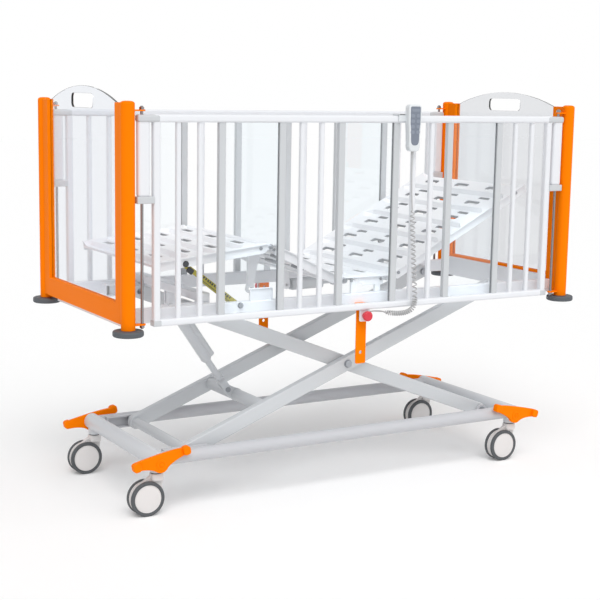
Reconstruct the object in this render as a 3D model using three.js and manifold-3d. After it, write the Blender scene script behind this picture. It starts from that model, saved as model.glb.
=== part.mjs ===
// Paediatric hospital cot: a scissor-lift bed with clear end panels, two drop sides and a four-part deck.
// Millimetres, +Z up, head end towards +X, near side towards -Y, origin on the floor below the middle.

import * as THREE from 'three';
import { mergeVertices } from 'three/addons/utils/BufferGeometryUtils.js';
import Module from 'manifold-3d';

const wasm = await Module();
wasm.setup();

// Clearances
const SEAT_GAP = 0.3; // between two pieces that touch
const RUN_GAP = 0.4; // radial play of a pin, rod or roller
const LANE_GAP = 4; // sideways room between neighbouring scissor arms
const EMBED = 3; // how far welded members reach into each other

// Overall sizes
const POST_SPAN_X = 1860;
const POST_SPAN_Y = 786;
const DECK_Z = 690; // underside of the deck members at the drawn lift height

// End frames
const POST_D = 48;
const POST_SIDES = 16;
const POST_BELOW_DECK = 10;
const POST_ABOVE_DECK = 741;
const POST_DOME = 9;
const END_BAR_UP = 5;
const END_BAR_H = 70;
const END_FRAME_T = 30;
const END_LEG_REACH = 74;
const END_PLATE_T = 12; // white plate across each deck end, inside the frame's lower bar
const END_PLATE_BELOW = 16;
const END_PLATE_SHORT = 10;
const END_LEG_TOP_DROP = 6;
const BUMPER_D = 104;
const BUMPER_T = 20;
const BUMPER_EDGE = 4;

// End panels
const END_PANEL_T = 8;
const END_PANEL_GROOVE = 12;
const END_PANEL_SHOULDER = 726; // above the deck underside
const END_PANEL_RISE = 61;
const HAND_HOLE_L = 200;
const HAND_HOLE_H = 49;
const HAND_HOLE_BELOW_PEAK = 51;

// Guide rods and their ears
const ROD_D = 10;
const ROD_INSET = 50; // from the post centre towards the middle of the cot
const EAR_T = 5;
const EAR_W = 24;
const EAR_LOW = 4;
const EAR_BELOW_POST_TOP = 33;
const ROD_NUT_D = 18;
const ROD_NUT_H = 12;

// Drop sides
const SIDE_BELOW_DECK = 4;
const SIDE_H = 702;
const TOP_RAIL_H = 26;
const BOTTOM_RAIL_H = 24;
const RAIL_T = 30;
const RAIL_EDGE = 5;
const SIDE_END_INSET = 100; // from the post centre to the end upright
const UPRIGHT_W = 25;
const BAR_W = 18;
const BAR_EDGE = 5;
const FLAT_BAR_W = 25;
const FLAT_BAR_T = 20;
const END_BAR_PLACE = 10.35; // in bar pitches from the middle
const ROUND_BAR_PLACES = [2.45, 3.45, 8.35, 9.35];
const FLAT_BAR_PLACES = [1.45, 4.45, 7.35];
const SIDE_PANEL_T = 6;
const SLEEVE_W = 44;
const SLEEVE_T = 24;
const SLEEVE_H = 240;
const CLIP_H = 24;
const CLIP_PROUD = 4;

// Side locks
const LOCK_PLATE_W = 43;
const LOCK_PLATE_T = 5;
const LOCK_PLATE_H = 227;
const LOCK_PLATE_UP = 18;
const LOCK_DROP = 26; // upper lock hole below the deck underside
const LOCK_PITCH = 141;
const LOCK_TAB_W = 42;
const LOCK_TAB_T = 6;
const LOCK_TAB_BELOW = 22;
const PLUNGER_D = 12;
const KNOB_D = 37;
const KNOB_T = 27;

// Deck frame
const MEMBER_H = 50;
const MEMBER_T = 30;
const MEMBER_INSET = 73; // from the post centre to its inner face
const CROSS_BAR_W = 40;
const CROSS_BAR_H = 30;
const CROSS_BAR_SHORT = 28;

// Base
const BASE_ABOVE_WHEELS = 70; // middle of the base tubes above the wheels' top
const STEM_INSET_X = 147;
const STEM_INSET_Y = 103;
const END_TUBE_D = 60;
const END_TUBE_WALL = 4;
const END_TUBE_OVERHANG = 28;
const END_TUBE_SIDES = 16;
const SIDE_TUBE_D = 50;
const SIDE_TUBE_SIDES = 16;
const COLLAR_D = 46;
const COLLAR_DROP = 14;

// Castors
const WHEEL_D = 125;
const WHEEL_SIDES = 16;
const WHEEL_INNER_Y = 7;
const WHEEL_OUTER_Y = 25;
const AXLE_D = 12;
const CASTOR_TRAIL = 40;
const STEM_D = 28;
const NECK_W = 44;
const NECK_T = 36;
const NECK_H = 20;
const HOOD_D = 102;

// Brake treadles
const TREADLE_BELOW_TUBE = 9; // bar middle below the tube middle
const TREADLE_TILT = THREE.MathUtils.degToRad(-12);
const TREADLE_T = 15;
const TREADLE_HUB_R = 30;
const TREADLE_OUTER = 90;
const TREADLE_INNER = 101;
const TREADLE_PAD_W = 28;
const TREADLE_PAD_LOW = 5;
const TREADLE_PAD_H = 31;
const TREADLE_PAD_PROUD = 13;
const HEX_BAR_D = 17;

// Scissor lift
const ARM_HALF = 714;
const ARM_H = 54;
const ARM_T = 30;
const ARM_INSET = 148; // from the side plane to the outer arm's face
const LIFT_CENTRE_X = 28;
const LIFT_TOP_UP = 21; // upper pivots above the deck underside
const CROSS_TUBE_D = 38;
const PIN_D = 20;
const PIN_SIDES = 12;
const BOLT_HEAD_D = 30;
const BOLT_HEAD_T = 8;
const ROLLER_D = 36;
const ROLLER_T = 14;
const CHANNEL_WALL = 5;
const CHANNEL_DEPTH = 20;
const CHANNEL_OUTWARD = 108; // channel ends from the rollers' drawn place
const CHANNEL_INWARD = 66;
const LUG_T = 8;
const LUG_R = 24;

// Lift actuator
const LIFT_ACT_TOP_IN = 38; // top pivot from the rollers' drawn place
const LIFT_ACT_PIN_IN = 276; // lower pin from the rollers' drawn place
const LIFT_ACT_PIN_DROP = 109; // lower pin below the scissor centre
const DRIVE_TUBE_D = 46;
const DRIVE_TUBE_IN = 318;
const LIFT_ACT_BODY_L = 271;
const LIFT_ACT_BODY_W = 38;
const LIFT_ACT_BORE_START = 40;
const LIFT_ACT_ROD_D = 25;
const LIFT_ACT_ROD_HIDDEN = 112;
const LIFT_MOTOR_D = 36;
const LIFT_MOTOR_L = 238;
const LIFT_MOTOR_START = 30;
const LIFT_MOTOR_UP = 18;
const FORK_LUG_T = 12;
const FORK_PLAY = 1;
const FORK_CHEEK_T = 7;
const FORK_DEPTH = 42;
const FORK_R = 16;

// Deck sections
const SECTION_INSET = 48; // from the side plane to the sheet's edge
const SECTION_UP = 110; // sheet top above the deck underside
const HINGE_BELOW_TOP = 14;
const SHEET_T = 3;
const FLANGE_T = 4;
const FLANGE_INSET = 10;
const FLANGE_HALF = 12;
const EYE_R = 10.5; // below the sheet of the next section
const HINGE_TUBE_D = 22;
const HINGE_PIN_D = 12;
const HINGE_KEEP = 14; // distance from a hinge axis at which a sheet starts
const THIGH_HINGE_X = -70;
const BACK_HINGE_X = 150;
const BACK_L = 705;
const THIGH_L = 326;
const CALF_L = 437;
const BACK_ANGLE = THREE.MathUtils.degToRad(27.5);
const THIGH_ANGLE = THREE.MathUtils.degToRad(25.5);
const CALF_DROP = THREE.MathUtils.degToRad(6.2);
const GROOVE_W = 36;
const GROOVE_DEPTH = 8;
const GROOVE_SLOPE = 7;
const GROOVE_END_SLOPE = 26;
const GROOVE_MARGIN = 38;
const SLOT_L = 62;
const SLOT_W = 14;
const SLOT_PITCH = 190;
const SLOTS_PER_SLAT = 3;
const SEAT_LEG_W = 24;

// Back actuator
const BACK_ACT_Y = 90;
const BACK_ACT_X = -60;
const BACK_ACT_BELOW_HINGE = 71;
const BACK_LEVER_ALONG = 20;
const BACK_LEVER_DOWN = 85;
const BACK_ACT_BODY_L = 165;
const BACK_ACT_BODY_W = 44;
const BACK_ACT_BORE_START = 36;
const BACK_ACT_ROD_D = 20;
const BACK_ACT_ROD_HIDDEN = 84;

// Calf ratchet strut
const RATCHET_OFF_MEMBER = 12; // from the member's inner face to the strut's middle
const RATCHET_X = -491;
const RATCHET_BELOW_TOP = 12; // pivot below the member's top
const RATCHET_ALONG_CALF = 332;
const RATCHET_DROP = 9; // upper pivot below the calf hinge line
const RATCHET_W = 24;
const RATCHET_T = 15;
const RATCHET_WALL = 2.5;
const RATCHET_PIN_D = 10;
const RATCHET_EYE_D = 24;
const RATCHET_EYE_PLAY = 4.6; // the strut's upper eye is loose on its pin
const RATCHET_CHANNEL_L = 165;
const RATCHET_BAR_W = 17;
const RATCHET_BAR_T = 8;
const RATCHET_TEETH = 7;
const RATCHET_TOOTH_PITCH = 15;

// Thigh lever
const LEVER_Y = -100;
const LEVER_T = 10;
const LEVER_DROP = 148;
const LEVER_BACK = 118; // tip from the knee
const LEVER_TIP_R = 17;

// Hand control and its curly cord
const HANDSET_X = 171;
const HANDSET_W = 56;
const HANDSET_TOP_R = 12;
const HANDSET_T = 28;
const HANDSET_H = 168;
const HANDSET_ABOVE_RAIL = 40;
const HANDSET_EDGE = 4;
const HOOK_OUT = 28; // hook beside the case, towards the foot end
const HOOK_T = 5;
const HOOK_DROP = 26;
const RELIEF_D = 10;
const RELIEF_H = 14;
const CORD_D = 5;
const CURL_R = 7.5;
const CURL_COUNT = 23;
const CURL_STEPS = 8;
const CORD_SIDES = 5;
const CORD_STRAIGHT = 184;
const GLAND_X = 46;
const GLAND_D = 14;
const GLAND_H = 8;

// Places that follow from the sizes above
const POST_X = POST_SPAN_X / 2;
const SIDE_Y = POST_SPAN_Y / 2;
const ROD_X = POST_X - ROD_INSET;
const POST_FOOT_Z = DECK_Z - POST_BELOW_DECK;
const POST_TOP_Z = DECK_Z + POST_ABOVE_DECK;
const END_FACE_X = POST_X - END_FRAME_T / 2;
const END_BAR_BOTTOM_Z = DECK_Z + END_BAR_UP;
const END_BAR_TOP_Z = END_BAR_BOTTOM_Z + END_BAR_H;
const END_LEG_Y = SIDE_Y - END_LEG_REACH;
const END_PANEL_SHOULDER_Z = DECK_Z + END_PANEL_SHOULDER;
const END_PANEL_PEAK_Z = END_PANEL_SHOULDER_Z + END_PANEL_RISE;
const EAR_LOW_Z = DECK_Z + EAR_LOW;
const EAR_HIGH_Z = POST_TOP_Z - EAR_BELOW_POST_TOP;
const SIDE_BOTTOM_Z = DECK_Z - SIDE_BELOW_DECK;
const SIDE_TOP_Z = SIDE_BOTTOM_Z + SIDE_H;
const SIDE_END_X = POST_X - SIDE_END_INSET;
const BAR_PITCH = SIDE_END_X / END_BAR_PLACE;
const CLIP_Z = SIDE_TOP_Z - TOP_RAIL_H - SLEEVE_H - CLIP_H;
const RAIL_INNER_Y = SIDE_Y - RAIL_T / 2;
const RAIL_OUTER_Y = SIDE_Y + RAIL_T / 2;
const LOCK_PLATE_TOP_Z = DECK_Z + LOCK_PLATE_UP;
const LOCK_PLATE_BOTTOM_Z = LOCK_PLATE_TOP_Z - LOCK_PLATE_H;
const LOCK_PLATE_Y = RAIL_INNER_Y - LANE_GAP;
const LOCK_HIGH_Z = DECK_Z - LOCK_DROP;
const LOCK_LOW_Z = LOCK_HIGH_Z - LOCK_PITCH;
const MEMBER_TOP_Z = DECK_Z + MEMBER_H;
const MEMBER_INNER_Y = SIDE_Y - MEMBER_INSET;
const MEMBER_OUTER_Y = MEMBER_INNER_Y + MEMBER_T;
const BASE_Z = WHEEL_D + BASE_ABOVE_WHEELS;
const STEM_X = POST_X - STEM_INSET_X;
const STEM_Y = SIDE_Y - STEM_INSET_Y;
const COLLAR_FOOT_Z = BASE_Z - END_TUBE_D / 2 - COLLAR_DROP;
const AXLE_Z = WHEEL_D / 2;
const TREADLE_Z = BASE_Z - TREADLE_BELOW_TUBE;
const OUTER_ARM_FACE_Y = SIDE_Y - ARM_INSET;
const OUTER_ARM_IN_Y = OUTER_ARM_FACE_Y - ARM_T;
const INNER_ARM_FACE_Y = OUTER_ARM_IN_Y - LANE_GAP;
const INNER_ARM_IN_Y = INNER_ARM_FACE_Y - ARM_T;
const CHANNEL_MOUTH_Y = OUTER_ARM_FACE_Y + LANE_GAP;
const CHANNEL_BACK_Y = CHANNEL_MOUTH_Y + CHANNEL_DEPTH;
const ROLLER_IN_Y = CHANNEL_MOUTH_Y + (CHANNEL_DEPTH - ROLLER_T) / 2;
const LIFT_PIVOT_Z = BASE_Z;
const LIFT_TOP_Z = DECK_Z + LIFT_TOP_UP;
const LIFT_CENTRE_Z = (LIFT_PIVOT_Z + LIFT_TOP_Z) / 2;
const LIFT_ANGLE = Math.asin((LIFT_CENTRE_Z - LIFT_PIVOT_Z) / ARM_HALF);
const LIFT_REACH = ARM_HALF * Math.cos(LIFT_ANGLE);
const LIFT_PIVOT_X = LIFT_CENTRE_X + LIFT_REACH;
const LIFT_SLIDE_X = LIFT_CENTRE_X - LIFT_REACH;
const LIFT_ACT_TOP_X = LIFT_SLIDE_X + LIFT_ACT_TOP_IN;
const LIFT_ACT_TOP_Z = DECK_Z;
const LIFT_ACT_PIN_X = LIFT_SLIDE_X + LIFT_ACT_PIN_IN;
const LIFT_ACT_PIN_Z = LIFT_CENTRE_Z - LIFT_ACT_PIN_DROP;
const DRIVE_TUBE_X = LIFT_SLIDE_X + DRIVE_TUBE_IN;
const SECTION_W = 2 * (SIDE_Y - SECTION_INSET);
const HINGE_Z = DECK_Z + SECTION_UP - HINGE_BELOW_TOP;
const FLANGE_Y = SECTION_W / 2 - FLANGE_INSET;
const BACK_ACT_Z = HINGE_Z - BACK_ACT_BELOW_HINGE;
const RATCHET_Y = MEMBER_INNER_Y - RATCHET_OFF_MEMBER;
const RATCHET_Z = MEMBER_TOP_Z - RATCHET_BELOW_TOP;
const HANDSET_TOP_Z = SIDE_TOP_Z + HANDSET_ABOVE_RAIL;
const HANDSET_BOTTOM_Z = HANDSET_TOP_Z - HANDSET_H;
const HANDSET_BACK_Y = -RAIL_OUTER_Y - 2 * SEAT_GAP;
const CORD_Y = HANDSET_BACK_Y - HANDSET_T / 2;
const GLAND_Y = -MEMBER_OUTER_Y + MEMBER_T / 3;
const FOOT = -1;
const HEAD = 1;
const FRONT = -1;
const REAR = 1;
const ENDS = [[FOOT, 'foot'], [HEAD, 'head']];
const SIDES = [[FRONT, 'front'], [REAR, 'rear']];

// Finishes
function finish(color, roughness, metalness = 0) {
  return () => new THREE.MeshStandardMaterial({ color, roughness, metalness });
}
const orangePaint = finish(0xff8200, 0.35);
const whitePaint = finish(0xecebee, 0.4);
const greyPaint = finish(0xc6c9cc, 0.42);
const armPaint = finish(0xb4b8ba, 0.45);
const darkRubber = finish(0x53575b, 0.8);
const clearAcrylic = finish(0xe6eef2, 0.05);
const wheelPlastic = finish(0xdedad8, 0.5);
const steel = finish(0xb9bcc0, 0.25, 1);
const yellowZinc = finish(0xbeb45a, 0.4, 0.9);
const redPlastic = finish(0xeb2850, 0.35);
const handsetPlastic = finish(0xd7dcde, 0.5);

// Solids: a welded closed geometry becomes a body that can be joined and cut
function solidOf(geometry) {
  const bare = new THREE.BufferGeometry();
  const source = geometry.index ? geometry.toNonIndexed() : geometry;
  bare.setAttribute('position', source.getAttribute('position').clone());
  const welded = mergeVertices(bare, 1e-4);
  const places = welded.getAttribute('position').array;
  const corners = [];
  let volume = 0;
  const [a, b, c] = [new THREE.Vector3(), new THREE.Vector3(), new THREE.Vector3()];
  for (let i = 0; i < welded.index.count; i += 3) {
    const [p, q, r] = [0, 1, 2].map((k) => welded.index.getX(i + k));
    if (p === q || q === r || r === p) continue;
    corners.push([p, q, r]);
    a.fromArray(places, 3 * p);
    b.fromArray(places, 3 * q);
    c.fromArray(places, 3 * r);
    volume += a.dot(b.cross(c));
  }
  const outward = volume > 0 ? corners : corners.map(([p, q, r]) => [p, r, q]);
  return new wasm.Manifold(new wasm.Mesh({
    numProp: 3,
    vertProperties: Float32Array.from(places),
    triVerts: Uint32Array.from(outward.flat()),
  }));
}

function geometryOf(body) {
  const mesh = body.getMesh();
  const geometry = new THREE.BufferGeometry();
  geometry.setAttribute('position', new THREE.BufferAttribute(Float32Array.from(mesh.vertProperties), 3));
  geometry.setIndex(new THREE.BufferAttribute(Uint32Array.from(mesh.triVerts), 1));
  geometry.computeVertexNormals();
  return geometry;
}

function join(...bodies) {
  return bodies.flat().reduce((whole, body) => whole.add(body));
}

function cut(body, ...tools) {
  return tools.flat().reduce((whole, tool) => whole.subtract(tool), body);
}

// A box between two places on each axis
function block(xs, ys, zs) {
  const sizes = [xs, ys, zs].map(([p, q]) => Math.abs(q - p));
  const middles = [xs, ys, zs].map(([p, q]) => (p + q) / 2);
  return solidOf(new THREE.BoxGeometry(...sizes).translate(...middles));
}

// A round bar between two points
function bar(diameter, from, to, sides = 20) {
  const start = new THREE.Vector3(...from);
  const run = new THREE.Vector3(...to).sub(start);
  const geometry = new THREE.CylinderGeometry(diameter / 2, diameter / 2, run.length(), sides);
  const along = run.clone().normalize();
  const turn = new THREE.Quaternion().setFromUnitVectors(new THREE.Vector3(0, 1, 0), along);
  geometry.applyQuaternion(turn);
  const middle = start.addScaledVector(run, 0.5);
  return solidOf(geometry.translate(middle.x, middle.y, middle.z));
}

// A round bar across the cot, from one Y to another
function crossPin(diameter, x, z, from, to, sides = PIN_SIDES) {
  return bar(diameter, [x, from, z], [x, to, z], sides);
}

// An outline in the plane across an axis, drawn in the order of the two other axes, pulled along it
const ALONG = {
  x: new THREE.Matrix4().makeBasis(
    new THREE.Vector3(0, 1, 0), new THREE.Vector3(0, 0, 1), new THREE.Vector3(1, 0, 0)),
  y: new THREE.Matrix4().makeBasis(
    new THREE.Vector3(1, 0, 0), new THREE.Vector3(0, 0, 1), new THREE.Vector3(0, -1, 0)),
  z: new THREE.Matrix4(),
};

function slab(outline, axis, from, to, curveSegments = 3, edge = 0) {
  const [low, high] = [Math.min(from, to), Math.max(from, to)];
  const geometry = new THREE.ExtrudeGeometry(outline, {
    depth: high - low - 2 * edge,
    curveSegments,
    bevelEnabled: edge > 0,
    bevelSize: edge,
    bevelOffset: -edge,
    bevelThickness: edge,
    bevelSegments: 1,
  });
  geometry.translate(0, 0, axis === 'y' ? edge - high : low + edge);
  return solidOf(geometry.applyMatrix4(ALONG[axis]));
}

function roundRect(width, height, radius, x = 0, y = 0) {
  const [w, h] = [width / 2 - radius, height / 2 - radius];
  const outline = new THREE.Shape();
  outline.absarc(x + w, y - h, radius, -Math.PI / 2, 0);
  outline.absarc(x + w, y + h, radius, 0, Math.PI / 2);
  outline.absarc(x - w, y + h, radius, Math.PI / 2, Math.PI);
  outline.absarc(x - w, y - h, radius, Math.PI, 1.5 * Math.PI);
  outline.closePath();
  return outline;
}

function chamferRect(width, height, edge, x = 0, y = 0) {
  const [w, h] = [width / 2, height / 2];
  const corners = [[w, edge - h], [w, h - edge], [w - edge, h], [edge - w, h],
    [-w, h - edge], [-w, edge - h], [edge - w, -h], [w - edge, -h]];
  return new THREE.Shape(corners.map(([dx, dy]) => new THREE.Vector2(x + dx, y + dy)));
}

// The outline round two discs, as on a lug or a link
function linkShape(x0, y0, r0, x1, y1, r1) {
  const heading = Math.atan2(y1 - y0, x1 - x0);
  const lean = Math.acos((r0 - r1) / Math.hypot(x1 - x0, y1 - y0));
  const outline = new THREE.Shape();
  outline.absarc(x0, y0, r0, heading + lean, heading - lean + 2 * Math.PI);
  outline.absarc(x1, y1, r1, heading - lean, heading + lean);
  outline.closePath();
  return outline;
}

// A turned piece about Y from a half profile of [radius, place] points
function turned(profile, sides) {
  return solidOf(new THREE.LatheGeometry(profile.map(([r, y]) => new THREE.Vector2(r, y)), sides));
}

// The scene graph
const cot = new THREE.Group();

function group(parent, x, y, z, tilt = 0) {
  const frame = new THREE.Group();
  frame.position.set(x, y, z);
  frame.rotation.y = tilt;
  parent.add(frame);
  return frame;
}

function place(parent, name, body, material) {
  const mesh = new THREE.Mesh(geometryOf(body), material());
  mesh.name = name;
  parent.add(mesh);
  return mesh;
}

// Base: two round end tubes with castor collars, two coped side tubes with slide channel and pivot lug
function endTube() {
  const reach = STEM_Y + END_TUBE_OVERHANG;
  const foot = COLLAR_FOOT_Z - BASE_Z;
  const collars = [FRONT, REAR].map((side) =>
    bar(COLLAR_D, [0, side * STEM_Y, 0], [0, side * STEM_Y, foot], PIN_SIDES));
  const bore = crossPin(END_TUBE_D - 2 * END_TUBE_WALL, 0, 0, -reach - 1, reach + 1, END_TUBE_SIDES);
  const stemHoles = [FRONT, REAR].map((side) =>
    bar(STEM_D + 2 * RUN_GAP, [0, side * STEM_Y, 0], [0, side * STEM_Y, foot - 1], PIN_SIDES));
  const tube = crossPin(END_TUBE_D, 0, 0, -reach, reach, END_TUBE_SIDES);
  return cut(join(tube, collars), bore, stemHoles);
}

// A slide channel and the track to cut in it, open towards the arms and at its inner end
function slideChannel(side, middleZ) {
  const half = ROLLER_D / 2 + RUN_GAP;
  const [far, near] = [LIFT_SLIDE_X - CHANNEL_OUTWARD, LIFT_SLIDE_X + CHANNEL_INWARD];
  const shell = block([far, near], [side * CHANNEL_MOUTH_Y, side * (CHANNEL_BACK_Y + CHANNEL_WALL)],
    [middleZ - half - CHANNEL_WALL, middleZ + half + CHANNEL_WALL]);
  const track = block([far + CHANNEL_WALL, near + 3 * CHANNEL_WALL],
    [side * (CHANNEL_MOUTH_Y - 1), side * CHANNEL_BACK_Y], [middleZ - half, middleZ + half]);
  return { shell, track };
}

function baseSideTube(side) {
  const y = side * STEM_Y;
  const tube = bar(SIDE_TUBE_D, [-STEM_X, y, BASE_Z], [STEM_X, y, BASE_Z], SIDE_TUBE_SIDES);
  const copes = [FOOT, HEAD].map((end) => crossPin(END_TUBE_D + 2 * SEAT_GAP, end * STEM_X, BASE_Z,
    y - SIDE_TUBE_D, y + SIDE_TUBE_D, END_TUBE_SIDES));
  const collarCuts = [FOOT, HEAD].map((end) =>
    bar(COLLAR_D + 2 * SEAT_GAP, [end * STEM_X, y, BASE_Z], [end * STEM_X, y, COLLAR_FOOT_Z], PIN_SIDES));
  const lugIn = INNER_ARM_FACE_Y + LANE_GAP;
  const lug = slab(linkShape(LIFT_PIVOT_X, LIFT_PIVOT_Z, LUG_R, LIFT_PIVOT_X, BASE_Z - 6, LUG_R), 'y',
    side * lugIn, side * (lugIn + LUG_T));
  const foot = block([LIFT_PIVOT_X - LUG_R, LIFT_PIVOT_X + LUG_R], [side * lugIn, y],
    [BASE_Z - LUG_R, BASE_Z - BOLT_HEAD_D / 2 - SEAT_GAP]);
  const pin = crossPin(PIN_D, LIFT_PIVOT_X, LIFT_PIVOT_Z, side * (lugIn + 1), side * INNER_ARM_IN_Y);
  const head = crossPin(BOLT_HEAD_D, LIFT_PIVOT_X, LIFT_PIVOT_Z,
    side * (lugIn + LUG_T - 1), side * (lugIn + LUG_T + BOLT_HEAD_T), 6);
  const channel = slideChannel(side, LIFT_PIVOT_Z);
  return join(cut(join(tube, channel.shell), copes, collarCuts, channel.track), lug, foot, pin, head);
}

// Castors: a swivelling housing with its hood between two wheels on one axle
function castorHousing() {
  const neckTop = COLLAR_FOOT_Z - SEAT_GAP;
  const stemTop = BASE_Z - END_TUBE_D / 2 + EMBED;
  const stem = bar(STEM_D, [0, 0, neckTop - NECK_H / 2], [0, 0, stemTop], PIN_SIDES);
  const neck = slab(chamferRect(NECK_W, NECK_T, 9), 'z', neckTop - NECK_H, neckTop);
  const bladeHalf = WHEEL_INNER_Y - SEAT_GAP;
  const hood = slab(linkShape(-CASTOR_TRAIL, AXLE_Z, HOOD_D / 2, 0, neckTop - NECK_H, NECK_W / 2), 'y',
    -bladeHalf, bladeHalf, 4);
  const axleHole = crossPin(AXLE_D + 2 * RUN_GAP, -CASTOR_TRAIL, AXLE_Z, -bladeHalf - 1, bladeHalf + 1, 10);
  return cut(join(stem, neck, hood), axleHole);
}

function castorWheels() {
  const flatToCorner = 1 / Math.cos(Math.PI / WHEEL_SIDES);
  const r = (WHEEL_D / 2) * flatToCorner;
  const half = [
    [0, WHEEL_OUTER_Y + 1], [r - 14, WHEEL_OUTER_Y - 0.5], [r - 3.5, WHEEL_OUTER_Y - 2.5],
    [r, WHEEL_OUTER_Y - 7.5], [r, WHEEL_INNER_Y + 5.5], [r - 4.5, WHEEL_INNER_Y],
    [AXLE_D / 2, WHEEL_INNER_Y],
  ];
  const profile = [...half.map(([x, y]) => [x, -y]), ...half.toReversed()];
  const geometry = new THREE.LatheGeometry(profile.map(([x, y]) => new THREE.Vector2(x, y)), WHEEL_SIDES);
  return solidOf(geometry.rotateY(Math.PI / WHEEL_SIDES));
}

// Brake treadle: two rocker pedals on one hexagon bar through the end tube
function treadle() {
  const faceY = STEM_Y + END_TUBE_OVERHANG + SEAT_GAP;
  const hexBar = crossPin(HEX_BAR_D, 0, 0, -faceY - 1, faceY + 1, 6);
  const outline = new THREE.Shape();
  const top = TREADLE_PAD_LOW + TREADLE_PAD_H;
  outline.moveTo(-TREADLE_OUTER, top);
  outline.lineTo(-TREADLE_OUTER, TREADLE_PAD_LOW);
  outline.quadraticCurveTo(-TREADLE_OUTER / 2, 0, -TREADLE_HUB_R * 0.81, -TREADLE_HUB_R * 0.59);
  outline.absarc(0, 0, TREADLE_HUB_R, Math.PI * 1.2, Math.PI * 1.8);
  outline.quadraticCurveTo(TREADLE_INNER / 2, -1, TREADLE_INNER, TREADLE_PAD_LOW);
  outline.lineTo(TREADLE_INNER, top - 6);
  outline.quadraticCurveTo(TREADLE_INNER / 3, top + 4, -TREADLE_OUTER, top);
  const pedals = [FRONT, REAR].flatMap((side) => {
    const rocker = slab(outline, 'y', side * faceY, side * (faceY + TREADLE_T));
    const pads = [-TREADLE_OUTER, TREADLE_INNER].map((x) =>
      slab(roundRect(TREADLE_PAD_W, TREADLE_PAD_H, 8, x, TREADLE_PAD_LOW + TREADLE_PAD_H / 2), 'y',
        side * faceY, side * (faceY + TREADLE_T + TREADLE_PAD_PROUD), 1));
    return [rocker, ...pads];
  });
  return join(hexBar, pedals);
}

// Scissor arms: round-ended box sections, drawn along X from the centre pivot
function armBody(side, faceY, inY, holes) {
  const outline = linkShape(-ARM_HALF, 0, ARM_H / 2, ARM_HALF, 0, ARM_H / 2);
  const arm = slab(outline, 'y', side * faceY, side * inY, 4);
  const bores = holes.map((x) => crossPin(PIN_D + 2 * RUN_GAP, x, 0, side * (inY - 1), side * (faceY + 1)));
  return cut(arm, bores);
}

function outerArm(side) {
  const arm = armBody(side, OUTER_ARM_FACE_Y, OUTER_ARM_IN_Y, [-ARM_HALF, ARM_HALF]);
  const pin = crossPin(PIN_D, 0, 0, side * (OUTER_ARM_FACE_Y - 1), side * (INNER_ARM_IN_Y - LANE_GAP));
  const head = crossPin(BOLT_HEAD_D, 0, 0, side * (OUTER_ARM_FACE_Y - 1),
    side * (OUTER_ARM_FACE_Y + BOLT_HEAD_T), 6);
  return join(arm, pin, head);
}

function roller(side) {
  return crossPin(ROLLER_D, -ARM_HALF, 0, side * ROLLER_IN_Y, side * (ROLLER_IN_Y + ROLLER_T), 16);
}

function innerArm(side) {
  const stub = crossPin(PIN_D, -ARM_HALF, 0, side * (INNER_ARM_FACE_Y - 1), side * (ROLLER_IN_Y + 1));
  return join(armBody(side, INNER_ARM_FACE_Y, INNER_ARM_IN_Y, [0, ARM_HALF]), stub, roller(side));
}

// The cross tube between the outer arms' lower ends, with pins through them to a roller in each channel
function outerSlideTube() {
  const reach = OUTER_ARM_IN_Y - SEAT_GAP;
  const tube = crossPin(CROSS_TUBE_D, -ARM_HALF, 0, -reach, reach, 16);
  const pin = crossPin(PIN_D, -ARM_HALF, 0, -ROLLER_IN_Y - 1, ROLLER_IN_Y + 1);
  return join(tube, pin, roller(FRONT), roller(REAR));
}

function innerPivotTube() {
  const reach = INNER_ARM_IN_Y - SEAT_GAP;
  return crossPin(CROSS_TUBE_D, ARM_HALF, 0, -reach, reach, 16);
}

function inArmFrame(x, z) {
  const [dx, dz] = [x - LIFT_CENTRE_X, z - LIFT_CENTRE_Z];
  const [c, s] = [Math.cos(LIFT_ANGLE), Math.sin(LIFT_ANGLE)];
  return [dx * c + dz * s, dz * c - dx * s];
}

function driveTube() {
  const along = (DRIVE_TUBE_X - LIFT_CENTRE_X) / Math.cos(LIFT_ANGLE);
  const reach = OUTER_ARM_IN_Y - SEAT_GAP;
  const tube = crossPin(DRIVE_TUBE_D, along, 0, -reach, reach, 16);
  const [pinX, pinZ] = inArmFrame(LIFT_ACT_PIN_X, LIFT_ACT_PIN_Z);
  const outline = linkShape(along, 0, DRIVE_TUBE_D / 2 + 2, pinX, pinZ, FORK_R);
  const lug = slab(outline, 'y', -FORK_LUG_T / 2, FORK_LUG_T / 2);
  return join(tube, lug);
}

// Actuators, drawn along X from the mounting pivot
function actuatorBody(length, width, boreStart, rodD, y) {
  const housing = slab(roundRect(width, width, 9, y, 0), 'x', boreStart - 13, length, 2);
  const eye = slab(linkShape(0, 0, FORK_R, boreStart - 10, 0, FORK_R), 'y',
    y - FORK_LUG_T / 2, y + FORK_LUG_T / 2);
  const bore = bar(rodD + 2 * RUN_GAP, [boreStart, y, 0], [length + 1, y, 0], PIN_SIDES);
  const hole = crossPin(HINGE_PIN_D + 2 * RUN_GAP, 0, 0, y - FORK_LUG_T, y + FORK_LUG_T);
  return cut(join(housing, eye), bore, hole);
}

function actuatorRod(start, length, rodD, y) {
  const base = length - FORK_DEPTH;
  const rod = bar(rodD, [start, y, 0], [base, y, 0], PIN_SIDES);
  const cheekIn = FORK_LUG_T / 2 + FORK_PLAY;
  const cheekOut = cheekIn + FORK_CHEEK_T;
  const yoke = slab(roundRect(2 * cheekOut, 2 * FORK_R, 5, y, 0), 'x', base - 10, base + 10, 1);
  const outline = linkShape(base, 0, FORK_R - 1, length, 0, FORK_R - 1);
  const cheeks = [FRONT, REAR].map((side) => slab(outline, 'y', y + side * cheekIn, y + side * cheekOut));
  const mouth = block([base + 2, length + FORK_R], [y - cheekIn, y + cheekIn], [-FORK_R, FORK_R]);
  return cut(join(rod, yoke, cheeks), mouth);
}

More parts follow.
